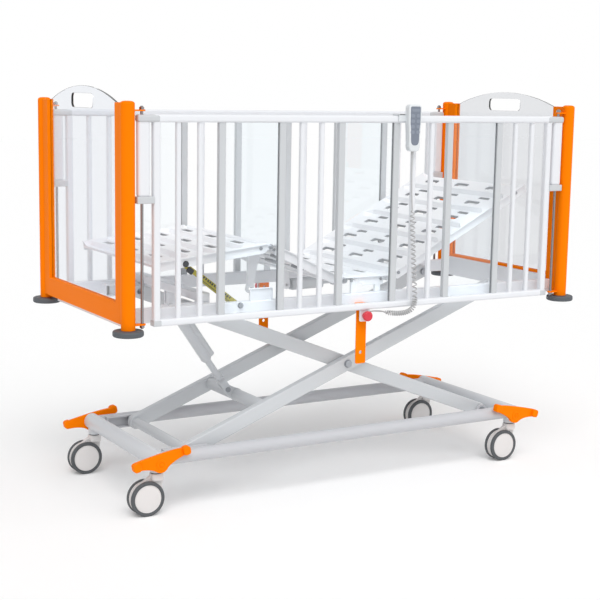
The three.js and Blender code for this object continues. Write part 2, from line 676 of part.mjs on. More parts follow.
// Deck frame: two box members with the upper slide channels and pivot lugs, and a cross bar
function deckMember(side) {
  const reach = END_FACE_X - SEAT_GAP;
  const inside = MEMBER_INNER_Y + EMBED;
  const walls = [side * MEMBER_INNER_Y, side * MEMBER_OUTER_Y];
  const member = block([-reach, reach], walls, [DECK_Z, MEMBER_TOP_Z]);
  const channel = slideChannel(side, LIFT_TOP_Z);
  const channelTop = LIFT_TOP_Z + ROLLER_D / 2 + RUN_GAP;
  const webs = [LIFT_SLIDE_X - CHANNEL_OUTWARD + 20, LIFT_SLIDE_X + CHANNEL_INWARD - 20].map((x) =>
    block([x - 6, x + 6], [side * CHANNEL_BACK_Y, side * inside], [DECK_Z + 2, channelTop + CHANNEL_WALL]));
  const saddle = block([LIFT_ACT_TOP_X - CROSS_BAR_W / 2, LIFT_ACT_TOP_X + CROSS_BAR_W / 2],
    [side * (CHANNEL_MOUTH_Y + EMBED), side * (MEMBER_INNER_Y - CROSS_BAR_SHORT)],
    [channelTop + 1, MEMBER_TOP_Z - 1]);
  const lugIn = OUTER_ARM_FACE_Y + LANE_GAP;
  const lug = slab(linkShape(LIFT_PIVOT_X, LIFT_TOP_Z, LUG_R, LIFT_PIVOT_X, LIFT_TOP_Z + 4, LUG_R), 'y',
    side * lugIn, side * (lugIn + LUG_T));
  const lugWeb = block([LIFT_PIVOT_X - 17, LIFT_PIVOT_X + 17], [side * (lugIn + LUG_T - 1), side * inside],
    [DECK_Z + 4, MEMBER_TOP_Z - 1]);
  const pin = crossPin(PIN_D, LIFT_PIVOT_X, LIFT_TOP_Z,
    side * (lugIn + 1), side * (OUTER_ARM_IN_Y - LANE_GAP / 2));
  return join(cut(join(member, channel.shell), channel.track), webs, saddle, lug, lugWeb, pin);
}

function frontMemberFittings() {
  const gland = bar(GLAND_D, [GLAND_X, GLAND_Y, DECK_Z + EMBED], [GLAND_X, GLAND_Y, DECK_Z - GLAND_H], 12);
  const ratchetPin = crossPin(RATCHET_PIN_D, RATCHET_X, RATCHET_Z,
    -MEMBER_INNER_Y - EMBED, -RATCHET_Y + RATCHET_T / 2 + EMBED);
  const endPlates = [FOOT, HEAD].map((end) =>
    block([end * (END_FACE_X - END_PLATE_T), end * (END_FACE_X - SEAT_GAP)],
      [-MEMBER_INNER_Y - EMBED, MEMBER_INNER_Y - SEAT_GAP],
      [DECK_Z - END_PLATE_BELOW, END_BAR_TOP_Z - END_PLATE_SHORT]));
  return [gland, ratchetPin, endPlates];
}

function crossBar() {
  const low = MEMBER_TOP_Z + SEAT_GAP - 1;
  const reach = MEMBER_INNER_Y - CROSS_BAR_SHORT;
  const beam = block([LIFT_ACT_TOP_X - CROSS_BAR_W / 2, LIFT_ACT_TOP_X + CROSS_BAR_W / 2],
    [-reach, reach], [low, low + CROSS_BAR_H]);
  const cheekIn = FORK_LUG_T / 2 + FORK_PLAY;
  const ears = [FRONT, REAR].map((side) =>
    slab(linkShape(LIFT_ACT_TOP_X, LIFT_ACT_TOP_Z, FORK_R, LIFT_ACT_TOP_X, low + 8, FORK_R), 'y',
      side * cheekIn, side * (cheekIn + FORK_CHEEK_T)));
  const pin = crossPin(HINGE_PIN_D, LIFT_ACT_TOP_X, LIFT_ACT_TOP_Z, -cheekIn - 1, cheekIn + 1);
  return join(beam, ears, pin);
}

// End frames: domed posts, a grooved U frame between them and an ear at each guide rod end
function endPanel() {
  const reach = END_LEG_Y + END_PANEL_GROOVE;
  const low = END_BAR_TOP_Z - END_PANEL_GROOVE;
  const radius = (reach * reach + END_PANEL_RISE * END_PANEL_RISE) / (2 * END_PANEL_RISE);
  const spread = Math.asin(reach / radius);
  const outline = new THREE.Shape();
  outline.moveTo(-reach, low);
  outline.lineTo(reach, low);
  outline.absarc(0, END_PANEL_PEAK_Z - radius, radius, Math.PI / 2 - spread, Math.PI / 2 + spread);
  outline.closePath();
  const holeZ = END_PANEL_PEAK_Z - HAND_HOLE_BELOW_PEAK;
  outline.holes.push(roundRect(HAND_HOLE_L, HAND_HOLE_H, HAND_HOLE_H / 2 - 1, 0, holeZ));
  return slab(outline, 'x', POST_X - END_PANEL_T / 2, POST_X + END_PANEL_T / 2, 5);
}

function endFrame() {
  const slotHalf = END_PANEL_T / 2 + SEAT_GAP;
  const slotReach = END_LEG_Y + END_PANEL_GROOVE + SEAT_GAP;
  const groove = block([POST_X - slotHalf, POST_X + slotHalf], [-slotReach, slotReach],
    [END_BAR_TOP_Z - END_PANEL_GROOVE - SEAT_GAP, END_PANEL_PEAK_Z]);
  const faces = [END_FACE_X, END_FACE_X + END_FRAME_T];
  const low = block(faces, [-SIDE_Y, SIDE_Y], [END_BAR_BOTTOM_Z, END_BAR_TOP_Z]);
  const legTop = POST_TOP_Z - END_LEG_TOP_DROP;
  const legs = [FRONT, REAR].map((side) =>
    block(faces, [side * END_LEG_Y, side * SIDE_Y], [END_BAR_BOTTOM_Z, legTop]));
  const postR = POST_D / 2;
  const profile = [[0, POST_FOOT_Z], [postR, POST_FOOT_Z], [postR, POST_TOP_Z - POST_DOME],
    [postR - 3, POST_TOP_Z - 4], [postR - 9, POST_TOP_Z - 1], [0, POST_TOP_Z]];
  const ears = [FRONT, REAR].flatMap((side) => [EAR_LOW_Z, EAR_HIGH_Z].map((z) => {
    const y = side * SIDE_Y;
    const ear = slab(linkShape(POST_X - 8, y, EAR_W / 2, ROD_X, y, EAR_W / 2), 'z', z, z + EAR_T, 2);
    const hole = bar(ROD_D + 2 * SEAT_GAP, [ROD_X, y, z - 1], [ROD_X, y, z + EAR_T + 1], 8);
    return cut(ear, hole);
  }));
  const post = turned(profile, POST_SIDES).rotate([90, 0, 0]);
  const posts = [FRONT, REAR].map((side) => post.translate([POST_X, side * SIDE_Y, 0]));
  return join(cut(join(low, legs), groove), posts, ears);
}

function bumper() {
  const r = BUMPER_D / 2;
  const high = POST_FOOT_Z - SEAT_GAP;
  const low = high - BUMPER_T;
  return turned([[0, low], [r - BUMPER_EDGE, low], [r, low + BUMPER_EDGE], [r, high - BUMPER_EDGE],
    [r - BUMPER_EDGE, high], [0, high]], POST_SIDES).rotate([90, 0, 0]);
}

function guideRod() {
  const bottom = EAR_LOW_Z - SEAT_GAP;
  const top = EAR_HIGH_Z + EAR_T + SEAT_GAP;
  const rod = bar(ROD_D, [0, 0, bottom - ROD_NUT_H], [0, 0, top + ROD_NUT_H], 8);
  const nuts = [[bottom - ROD_NUT_H + 2, bottom], [top, top + ROD_NUT_H - 2]].map(([low, high]) =>
    bar(ROD_NUT_D, [0, 0, low], [0, 0, high], 6));
  return join(rod, nuts);
}

// Drop side: rails, uprights and bars in one welded frame, with guide sleeves, clips and a lock tab
function dropSide() {
  const y = -SIDE_Y;
  const outerX = SIDE_END_X + UPRIGHT_W / 2;
  const thick = [y - RAIL_T / 2 - 1, y + RAIL_T / 2 + 1];
  const topRail = [SIDE_TOP_Z - TOP_RAIL_H / 2, TOP_RAIL_H];
  const bottomRail = [SIDE_BOTTOM_Z + BOTTOM_RAIL_H / 2, BOTTOM_RAIL_H];
  const rails = [topRail, bottomRail].map(([z, height]) =>
    slab(chamferRect(RAIL_T, height, RAIL_EDGE, y, z), 'x', -outerX, outerX));
  const lowZ = SIDE_BOTTOM_Z + BOTTOM_RAIL_H - EMBED;
  const highZ = SIDE_TOP_Z - TOP_RAIL_H + EMBED;
  const upright = (x, w, t, edge) => slab(chamferRect(w, t, edge, x, y), 'z', lowZ, highZ);
  const mirrored = (places) => places.flatMap((p) => [-p * BAR_PITCH, p * BAR_PITCH]);
  const roundBars = mirrored(ROUND_BAR_PLACES).map((x) => upright(x, BAR_W, BAR_W, BAR_EDGE));
  const flatBars = mirrored(FLAT_BAR_PLACES).map((x) => upright(x, FLAT_BAR_W, FLAT_BAR_T, 2));
  const ends = [-SIDE_END_X, SIDE_END_X].map((x) => upright(x, UPRIGHT_W, UPRIGHT_W, RAIL_EDGE));
  const guides = [FOOT, HEAD].flatMap((end) => {
    const out = ROD_X + SLEEVE_W / 2 - 4;
    const sleeve = block([end * (out - SLEEVE_W), end * out], [y - SLEEVE_T / 2, y + SLEEVE_T / 2],
      [CLIP_Z + CLIP_H - EMBED, SIDE_TOP_Z - EMBED]);
    const clip = block([end * (outerX - EMBED), end * (out + CLIP_PROUD)], thick,
      [CLIP_Z, CLIP_Z + CLIP_H]);
    const corner = block([end * (outerX - UPRIGHT_W), end * out], thick,
      [SIDE_TOP_Z - TOP_RAIL_H, SIDE_TOP_Z - 1]);
    const heel = block([end * (outerX - UPRIGHT_W - 2), end * (outerX + 2)], thick,
      [SIDE_BOTTOM_Z + 1, SIDE_BOTTOM_Z + BOTTOM_RAIL_H - 3]);
    return [sleeve, clip, corner, heel];
  });
  const rodHoles = [-ROD_X, ROD_X].map((x) =>
    bar(ROD_D + 2 * RUN_GAP, [x, y, CLIP_Z - 1], [x, y, SIDE_TOP_Z + 1], 8));
  const tabZs = [LOCK_HIGH_Z - LOCK_TAB_BELOW, SIDE_BOTTOM_Z + 2 * EMBED];
  const tab = slab(roundRect(LOCK_TAB_W, tabZs[1] - tabZs[0], 5, 0, (tabZs[0] + tabZs[1]) / 2), 'y',
    y - LOCK_TAB_T / 2, y + LOCK_TAB_T / 2, 1);
  const tabHole = crossPin(PLUNGER_D + 2 * RUN_GAP, 0, LOCK_HIGH_Z, y - LOCK_TAB_T, y + LOCK_TAB_T);
  return join(rails, roundBars, flatBars, ends, cut(join(guides), rodHoles), cut(tab, tabHole));
}

function sidePanel(from, to) {
  const grip = FLAT_BAR_W / 2 + SEAT_GAP;
  return block([from * BAR_PITCH + grip, to * BAR_PITCH - grip],
    [-SIDE_Y - SIDE_PANEL_T / 2, -SIDE_Y + SIDE_PANEL_T / 2],
    [SIDE_BOTTOM_Z + BOTTOM_RAIL_H + SEAT_GAP, SIDE_TOP_Z - TOP_RAIL_H - SEAT_GAP]);
}

function lockPlate() {
  const middle = (LOCK_PLATE_TOP_Z + LOCK_PLATE_BOTTOM_Z) / 2;
  const outline = roundRect(LOCK_PLATE_W, LOCK_PLATE_H, 6, 0, middle);
  const plate = slab(outline, 'y', -LOCK_PLATE_Y, -LOCK_PLATE_Y + LOCK_PLATE_T, 1);
  const holes = [LOCK_HIGH_Z, LOCK_LOW_Z].map((z) =>
    crossPin(PLUNGER_D + 2 * RUN_GAP, 0, z, -LOCK_PLATE_Y - 1, -LOCK_PLATE_Y + LOCK_PLATE_T + 1));
  const spacer = block([-LOCK_PLATE_W / 2 + 4, LOCK_PLATE_W / 2 - 4],
    [-LOCK_PLATE_Y + LOCK_PLATE_T - 1, -MEMBER_OUTER_Y - SEAT_GAP], [DECK_Z + 1, LOCK_PLATE_TOP_Z - 1]);
  return join(cut(plate, holes), spacer);
}

function plunger() {
  const knobIn = SIDE_Y + LOCK_TAB_T / 2 + SEAT_GAP;
  const knobOut = knobIn + KNOB_T;
  const nose = LOCK_PLATE_Y + SEAT_GAP;
  const r = KNOB_D / 2;
  const profile = [[0, -knobOut], [r - 5, -knobOut], [r, -knobOut + 5], [r, -knobOut + 13],
    [r - 7, -knobIn - 6], [r - 7, -knobIn], [PLUNGER_D / 2, -knobIn], [PLUNGER_D / 2, -nose], [0, -nose]];
  return turned(profile, PIN_SIDES).translate([0, 0, LOCK_HIGH_Z]);
}

// Deck sections: a pressed sheet with tapered grooves and oval slots between two hinged flanges
function trough(x, z, grow) {
  const geometry = new THREE.BoxGeometry(1, 1, 1);
  const corners = geometry.getAttribute('position');
  const wide = GROOVE_W / 2 + grow;
  const long = SECTION_W / 2 - GROOVE_MARGIN + grow;
  for (let i = 0; i < corners.count; i += 1) {
    const inward = corners.getZ(i) > 0 ? 0 : 1;
    corners.setXYZ(i,
      x + Math.sign(corners.getX(i)) * (wide - inward * GROOVE_SLOPE),
      Math.sign(corners.getY(i)) * (long - inward * GROOVE_END_SLOPE),
      inward ? z - GROOVE_DEPTH : z + 0.5);
  }
  return solidOf(geometry);
}

// A row of long slots with pointed ends across a slat
function slots(x, count) {
  return Array.from({ length: count }, (_, i) => {
    const y = (i - (count - 1) / 2) * SLOT_PITCH;
    const outline = new THREE.Shape();
    const straight = SLOT_L / 2 - SLOT_W / 3;
    outline.moveTo(x, y - SLOT_L / 2);
    outline.lineTo(x + SLOT_W / 2, y - straight);
    outline.lineTo(x + SLOT_W / 2, y + straight);
    outline.lineTo(x, y + SLOT_L / 2);
    outline.lineTo(x - SLOT_W / 2, y + straight);
    outline.lineTo(x - SLOT_W / 2, y - straight);
    outline.closePath();
    return slab(outline, 'z', -HINGE_BELOW_TOP, 2 * HINGE_BELOW_TOP);
  });
}

function pressedSheet(from, to, slats) {
  const top = HINGE_BELOW_TOP;
  const pitch = (to - from) / slats;
  const grooves = Array.from({ length: slats - 1 }, (_, i) => from + (i + 1) * pitch);
  const sheet = block([from, to], [-SECTION_W / 2, SECTION_W / 2], [top - SHEET_T, top]);
  const pressed = grooves.map((x) => trough(x, top - SHEET_T, SHEET_T));
  const hollow = grooves.map((x) => trough(x, top, 0));
  const slatMiddles = Array.from({ length: slats }, (_, i) => from + (i + 0.5) * pitch);
  const slatSlots = slatMiddles.flatMap((x) => slots(x, SLOTS_PER_SLAT));
  const lipReach = FLANGE_Y - FLANGE_T - 1;
  const lips = [from, to - SHEET_T].map((x) =>
    block([x, x + SHEET_T], [-lipReach, lipReach], [-FLANGE_HALF + 2, top - SHEET_T / 2]));
  return join(cut(join(sheet, pressed), hollow, slatSlots), lips);
}

// A side flange; where it is hinged it ends in an eye round the hinge pin
function sideFlange(side, from, to) {
  const wall = [side * (FLANGE_Y - FLANGE_T), side * FLANGE_Y];
  const strip = block([from, to], wall, [-FLANGE_HALF, HINGE_BELOW_TOP - SHEET_T / 2]);
  if (from > 0) return strip;
  const eye = slab(linkShape(0, 0, EYE_R, HINGE_KEEP * 2, 0, EYE_R), 'y', ...wall);
  const hole = crossPin(HINGE_PIN_D + 2 * RUN_GAP, 0, 0, wall[0] - side, wall[1] + side);
  const trimmed = cut(strip, block([-1, HINGE_KEEP], wall, [-FLANGE_HALF - 1, HINGE_BELOW_TOP]));
  return cut(join(trimmed, eye), hole);
}

// A hinge tube across the deck with a pin at each end for the next section's eyes
function hingeTube(x) {
  const shoulder = FLANGE_Y - FLANGE_T - SEAT_GAP;
  const pinReach = FLANGE_Y + EMBED;
  return join(crossPin(HINGE_TUBE_D, x, 0, -shoulder, shoulder),
    crossPin(HINGE_PIN_D, x, 0, -pinReach, pinReach));
}

function hingedSection(length, slats, sheetEnd) {
  const flanges = [FRONT, REAR].map((side) => sideFlange(side, 0, sheetEnd));
  return join(pressedSheet(HINGE_KEEP, length, slats), flanges);
}

function backSection() {
  const outline = linkShape(BACK_LEVER_ALONG, -BACK_LEVER_DOWN, FORK_R, BACK_LEVER_ALONG + 46, 0, 20);
  const lever = slab(outline, 'y', BACK_ACT_Y - FORK_LUG_T / 2, BACK_ACT_Y + FORK_LUG_T / 2);
  const strap = block([BACK_LEVER_ALONG + 26, BACK_LEVER_ALONG + 66], [BACK_ACT_Y - 20, BACK_ACT_Y + 20],
    [HINGE_BELOW_TOP - SHEET_T - GROOVE_DEPTH, HINGE_BELOW_TOP - SHEET_T + 1]);
  return join(hingedSection(BACK_L, 6, BACK_L), lever, strap);
}

function seatSection() {
  const [left, right] = [THIGH_HINGE_X + HINGE_TUBE_D / 2 - 1, BACK_HINGE_X - HINGE_TUBE_D / 2 + 1];
  const sheet = pressedSheet(left, right, 2);
  const inset = FLANGE_HALF * 2;
  const flanges = [FRONT, REAR].map((side) => sideFlange(side, 1, right - left - 2 * inset)
    .translate([left + inset, 0, 0]));
  const tubes = [THIGH_HINGE_X, BACK_HINGE_X].map(hingeTube);
  const legXs = [left + inset + SEAT_LEG_W, right - inset - SEAT_LEG_W];
  const legs = [FRONT, REAR].flatMap((side) => legXs.map((x) =>
    block([x - SEAT_LEG_W / 2, x + SEAT_LEG_W / 2],
      [side * (FLANGE_Y - FLANGE_T - 8), side * (FLANGE_Y - 1)], [MEMBER_TOP_Z + SEAT_GAP - HINGE_Z, 0])));
  const cheekIn = FORK_LUG_T / 2 + FORK_PLAY;
  const ears = [FRONT, REAR].map((side) =>
    slab(linkShape(BACK_ACT_X, BACK_ACT_Z - HINGE_Z, FORK_R, THIGH_HINGE_X + 4, 0, FORK_R - 6), 'y',
      BACK_ACT_Y + side * cheekIn, BACK_ACT_Y + side * (cheekIn + FORK_CHEEK_T)));
  const pinZ = BACK_ACT_Z - HINGE_Z;
  const pin = crossPin(HINGE_PIN_D, BACK_ACT_X, pinZ, BACK_ACT_Y - cheekIn - 1, BACK_ACT_Y + cheekIn + 1);
  return join(sheet, flanges, tubes, legs, ears, pin);
}

function thighSection() {
  const knee = THIGH_L;
  const flangeEnd = knee - HINGE_KEEP * 2;
  const sheetEnd = knee - HINGE_TUBE_D / 2 + 1;
  const outline = new THREE.Shape();
  const tip = knee - LEVER_BACK;
  outline.moveTo(knee - 100, HINGE_BELOW_TOP - SHEET_T / 2);
  outline.quadraticCurveTo(knee - 104, -70, tip - LEVER_TIP_R, -LEVER_DROP);
  outline.absarc(tip, -LEVER_DROP, LEVER_TIP_R, Math.PI, 2 * Math.PI);
  outline.quadraticCurveTo(knee - 80, -80, knee - 20, HINGE_BELOW_TOP - SHEET_T / 2);
  outline.closePath();
  const pinHole = new THREE.Path().absarc(tip, -LEVER_DROP, HINGE_PIN_D / 2, 0, 2 * Math.PI, true);
  outline.holes.push(pinHole);
  const lever = slab(outline, 'y', -LEVER_Y - LEVER_T / 2, -LEVER_Y + LEVER_T / 2, 4);
  const flanges = [FRONT, REAR].map((side) => sideFlange(side, 0, flangeEnd));
  return join(pressedSheet(HINGE_KEEP, sheetEnd, 3), flanges, hingeTube(knee), lever);
}

function calfSection() {
  const pin = crossPin(RATCHET_PIN_D, RATCHET_ALONG_CALF, -RATCHET_DROP,
    FLANGE_Y - 1, RATCHET_Y - RATCHET_T / 2 - EMBED);
  return join(hingedSection(CALF_L, 4, CALF_L), pin);
}

// Calf ratchet strut, drawn along X from its pivot on the deck member
function ratchetChannel() {
  const y = -RATCHET_Y;
  const start = RATCHET_W / 2 + 4;
  const tube = slab(chamferRect(RATCHET_T, RATCHET_W, 2, y, 0), 'x', start, RATCHET_CHANNEL_L);
  const [halfT, halfW] = [RATCHET_T / 2 - RATCHET_WALL, RATCHET_W / 2 - RATCHET_WALL];
  const hollow = block([start + 12, RATCHET_CHANNEL_L + 1], [y - halfT, y + halfT], [-halfW, halfW]);
  const eye = slab(linkShape(0, 0, RATCHET_W / 2, start + 6, 0, RATCHET_W / 2), 'y',
    y - RATCHET_T / 2, y + RATCHET_T / 2);
  const hole = crossPin(RATCHET_PIN_D + 2 * RUN_GAP, 0, 0, y - RATCHET_T, y + RATCHET_T);
  const windows = Array.from({ length: RATCHET_TEETH }, (_, i) => {
    const x = start + 24 + i * RATCHET_TOOTH_PITCH;
    return block([x, x + RATCHET_TOOTH_PITCH / 2], [y, y + RATCHET_T], [-4, 3]);
  });
  return cut(join(tube, eye), hollow, hole, windows);
}

function ratchetBar(length) {
  const y = -RATCHET_Y;
  const outline = new THREE.Shape();
  const start = RATCHET_CHANNEL_L - (RATCHET_TEETH + 1) * RATCHET_TOOTH_PITCH;
  const half = RATCHET_BAR_W / 2;
  outline.moveTo(start, -half);
  outline.lineTo(length - 18, -half);
  outline.lineTo(length - 18, half);
  for (let i = RATCHET_TEETH; i >= 0; i -= 1) {
    const x = start + i * RATCHET_TOOTH_PITCH;
    outline.lineTo(x + RATCHET_TOOTH_PITCH, half);
    outline.lineTo(x + 3, half - 4);
  }
  outline.lineTo(start, half);
  outline.closePath();
  const strip = slab(outline, 'y', y - RATCHET_BAR_T / 2, y + RATCHET_BAR_T / 2);
  const eye = slab(linkShape(length - 22, 0, half, length, 0, RATCHET_EYE_D / 2), 'y',
    y - RATCHET_T / 2, y + RATCHET_T / 2);
  const hole = crossPin(RATCHET_PIN_D + 2 * RATCHET_EYE_PLAY, length, 0, y - RATCHET_T, y + RATCHET_T);
  return cut(join(strip, eye), hole);
}

// Hand control: a moulded case hung on the near top rail by its hook
function handset() {
  const back = HANDSET_BACK_Y;
  const front = back - HANDSET_T;
  const low = HANDSET_BOTTOM_Z;
  const waist = HANDSET_W / 2 - 4;
  const shoulder = HANDSET_W / 2 - HANDSET_TOP_R;
  const outline = new THREE.Shape();
  outline.moveTo(HANDSET_X - waist + 12, low);
  outline.lineTo(HANDSET_X + waist - 12, low);
  outline.quadraticCurveTo(HANDSET_X + waist, low, HANDSET_X + waist, low + 14);
  outline.quadraticCurveTo(HANDSET_X + waist, low + 60, HANDSET_X + HANDSET_W / 2, low + 100);
  outline.absarc(HANDSET_X + shoulder, HANDSET_TOP_Z - HANDSET_TOP_R, HANDSET_TOP_R, 0, Math.PI / 2);
  outline.absarc(HANDSET_X - shoulder, HANDSET_TOP_Z - HANDSET_TOP_R, HANDSET_TOP_R, Math.PI / 2, Math.PI);
  outline.lineTo(HANDSET_X - HANDSET_W / 2, low + 100);
  outline.quadraticCurveTo(HANDSET_X - waist, low + 60, HANDSET_X - waist, low + 14);
  outline.quadraticCurveTo(HANDSET_X - waist, low, HANDSET_X - waist + 12, low);
  const shell = slab(outline, 'y', front, back, 3, HANDSET_EDGE);
  const hookXs = [HANDSET_X - HANDSET_W / 2 - HOOK_OUT, HANDSET_X - shoulder];
  const hookTop = SIDE_TOP_Z + 2 * SEAT_GAP;
  const inside = -RAIL_INNER_Y + 2 * SEAT_GAP;
  const hookLow = hookTop + HOOK_T - HOOK_DROP;
  const bridge = block(hookXs, [back - HOOK_T, inside + HOOK_T], [hookTop, hookTop + HOOK_T]);
  const cheek = block(hookXs, [back - HOOK_T, back], [hookLow, hookTop + HOOK_T]);
  const tongue = block(hookXs, [inside, inside + HOOK_T], [hookLow, hookTop + HOOK_T]);
  const reliefTop = [HANDSET_X, CORD_Y, low + 2 * EMBED];
  const relief = bar(RELIEF_D, reliefTop, [HANDSET_X, CORD_Y, low - RELIEF_H], 10);
  return join(shell, bridge, cheek, tongue, relief);
}

// Curly cord: straight from the hand control, then one unbroken helix along a hanging bow to the gland
function cordAxis() {
  const start = HANDSET_BOTTOM_Z - RELIEF_H - SEAT_GAP;
  const glandFoot = DECK_Z - GLAND_H - SEAT_GAP;
  const hang = start - CORD_STRAIGHT;
  const bend = DECK_Z + 15;
  const fall = hang - bend;
  return [
    [HANDSET_X, CORD_Y, start],
    [HANDSET_X, CORD_Y, start - 12],
    [HANDSET_X, CORD_Y, start - CORD_STRAIGHT / 3],
    [HANDSET_X + 2, CORD_Y, start - CORD_STRAIGHT / 1.5],
    [HANDSET_X + 6, CORD_Y, hang],
    [HANDSET_X + 13, CORD_Y, hang - fall * 0.3],
    [HANDSET_X + 21, CORD_Y, hang - fall * 0.6],
    [HANDSET_X + 28, CORD_Y, hang - fall * 0.85],
    [HANDSET_X + 30, CORD_Y, bend],
    [HANDSET_X + 22, CORD_Y, bend - 22],
    [HANDSET_X, CORD_Y + 1, bend - 35],
    [HANDSET_X - 36, CORD_Y + 4, bend - 39],
    [HANDSET_X - 72, CORD_Y + 12, bend - 37],
    [HANDSET_X - 97, CORD_Y + 32, bend - 31],
    [GLAND_X + 6, GLAND_Y - 26, glandFoot - 7],
    [GLAND_X, GLAND_Y, glandFoot - 9],
    [GLAND_X, GLAND_Y, glandFoot],
  ].map((p) => new THREE.Vector3(...p));
}

function curlyCord() {
  const axis = new THREE.CatmullRomCurve3(cordAxis(), false, 'centripetal');
  const whole = axis.getLength();
  const curlFrom = CORD_STRAIGHT + 10;
  const curlTo = whole - 70;
  const fade = 26;
  const stretch = (distance) => {
    if (distance <= curlFrom || distance >= curlTo) return 0;
    const near = Math.min(distance - curlFrom, curlTo - distance) / fade;
    return near >= 1 ? 1 : (1 - Math.cos(Math.PI * near)) / 2;
  };
  const distances = [0, 6, 60, 130, curlFrom - 4];
  const steps = CURL_COUNT * CURL_STEPS;
  for (let i = 0; i <= steps; i += 1) distances.push(curlFrom + (i * (curlTo - curlFrom)) / steps);
  for (const rest of [50, 34, 20, 8, 0]) distances.push(whole - rest);
  let across = new THREE.Vector3(1, 0, 0);
  const line = distances.map((distance) => {
    const at = distance / whole;
    const ahead = axis.getTangentAt(at);
    across = across.clone().addScaledVector(ahead, -across.dot(ahead)).normalize();
    const aside = new THREE.Vector3().crossVectors(ahead, across);
    const turn = (2 * Math.PI * CURL_COUNT * (distance - curlFrom)) / (curlTo - curlFrom);
    const r = CURL_R * stretch(distance);
    const curl = across.clone().multiplyScalar(r * Math.cos(turn)).addScaledVector(aside, r * Math.sin(turn));
    return axis.getPointAt(at).add(curl);
  });
  return { line, body: tubeAlong(line, CORD_D, CORD_SIDES) };
}

function tubeAlong(line, diameter, sides) {
  const places = [];
  const faces = [];
  let across = new THREE.Vector3(1, 0, 0);
  line.forEach((point, i) => {
    const ahead = line[Math.min(i + 1, line.length - 1)].clone().sub(line[Math.max(i - 1, 0)]).normalize();
    across = across.clone().addScaledVector(ahead, -across.dot(ahead)).normalize();
    const aside = new THREE.Vector3().crossVectors(ahead, across);
    for (let k = 0; k < sides; k += 1) {
      const turn = (2 * Math.PI * k) / sides;
      const rim = point.clone().addScaledVector(across, (diameter / 2) * Math.cos(turn))
        .addScaledVector(aside, (diameter / 2) * Math.sin(turn));
      places.push(rim.x, rim.y, rim.z);
    }
  });
  const rings = line.length;
  for (let i = 0; i < rings - 1; i += 1) {
    for (let k = 0; k < sides; k += 1) {
      const [a, b] = [i * sides + k, i * sides + ((k + 1) % sides)];
      faces.push(a, b, b + sides, a, b + sides, a + sides);
    }
  }
  for (let k = 1; k < sides - 1; k += 1) {
    const last = (rings - 1) * sides;
    faces.push(0, k + 1, k, last, last + k, last + k + 1);
  }
  const geometry = new THREE.BufferGeometry();
  geometry.setAttribute('position', new THREE.Float32BufferAttribute(places, 3));
  geometry.setIndex(faces);
  return solidOf(geometry);
}

// The least distance between two stretches of cord that aren't neighbours, less its thickness
function leastSelfGap(line, diameter) {
  let least = Infinity;
  const apart = Math.floor(CURL_STEPS * 0.6);
  for (let i = 0; i < line.length; i += 1) {
    for (let k = i + apart; k < line.length; k += 1) least = Math.min(least, line[i].distanceTo(line[k]));
  }
  return least - diameter;
}

// Assembly: base and castors
for (const [end, endName] of ENDS) {
  const frame = group(cot, end * STEM_X, 0, BASE_Z);
  place(frame, `base_end_tube_${endName}`, endTube(), greyPaint);
  const pivot = group(cot, end * STEM_X, 0, TREADLE_Z);
  pivot.rotation.z = end === HEAD ? Math.PI : 0;
  place(group(pivot, 0, 0, 0, TREADLE_TILT), `brake_treadle_${endName}`, treadle(), orangePaint);
  for (const [side, sideName] of SIDES) {
    const castor = group(cot, end * STEM_X, side * STEM_Y, 0);
    place(castor, `castor_housing_${endName}_${sideName}`, castorHousing(), wheelPlastic);
    const axle = group(castor, -CASTOR_TRAIL, 0, AXLE_Z);
    place(axle, `castor_wheels_${endName}_${sideName}`, castorWheels(), darkRubber);
  }
}
for (const [side, sideName] of SIDES) {
  place(cot, `base_side_tube_${sideName}`, baseSideTube(side), greyPaint);
}

// Assembly: scissor lift
const outerFrame = group(cot, LIFT_CENTRE_X, 0, LIFT_CENTRE_Z, -LIFT_ANGLE);
const innerFrame = group(cot, LIFT_CENTRE_X, 0, LIFT_CENTRE_Z, LIFT_ANGLE);
for (const [side, sideName] of SIDES) {
  place(outerFrame, `outer_arm_${sideName}`, outerArm(side), armPaint);
  place(innerFrame, `inner_arm_${sideName}`, innerArm(side), armPaint);
}
place(outerFrame, 'outer_slide_tube', outerSlideTube(), armPaint);
place(outerFrame, 'outer_drive_tube', driveTube(), armPaint);
place(innerFrame, 'inner_pivot_tube', innerPivotTube(), armPaint);

const liftRun = [LIFT_ACT_PIN_X - LIFT_ACT_TOP_X, LIFT_ACT_PIN_Z - LIFT_ACT_TOP_Z];
const liftFrame = group(cot, LIFT_ACT_TOP_X, 0, LIFT_ACT_TOP_Z, -Math.atan2(liftRun[1], liftRun[0]));
const motorEnd = LIFT_MOTOR_START + LIFT_MOTOR_L;
const liftMotor = cut(
  bar(LIFT_MOTOR_D, [LIFT_MOTOR_START, 0, LIFT_MOTOR_UP], [motorEnd, 0, LIFT_MOTOR_UP], 14),
  block([0, LIFT_ACT_BODY_L], [-LIFT_MOTOR_D, LIFT_MOTOR_D], [-LIFT_MOTOR_D, LIFT_ACT_BODY_W / 2 - 1]));
const liftBody = actuatorBody(LIFT_ACT_BODY_L, LIFT_ACT_BODY_W, LIFT_ACT_BORE_START, LIFT_ACT_ROD_D, 0);
place(liftFrame, 'lift_actuator_body', join(liftBody, liftMotor), armPaint);
place(liftFrame, 'lift_actuator_rod',
  actuatorRod(LIFT_ACT_BODY_L - LIFT_ACT_ROD_HIDDEN, Math.hypot(...liftRun), LIFT_ACT_ROD_D, 0), greyPaint);

// Assembly: deck frame, end frames and sides
for (const [side, sideName] of SIDES) {
  const fittings = side === FRONT ? frontMemberFittings() : [];
  place(cot, `deck_side_member_${sideName}`, join(deckMember(side), fittings.flat()), whitePaint);
}
place(cot, 'deck_cross_bar', crossBar(), whitePaint);

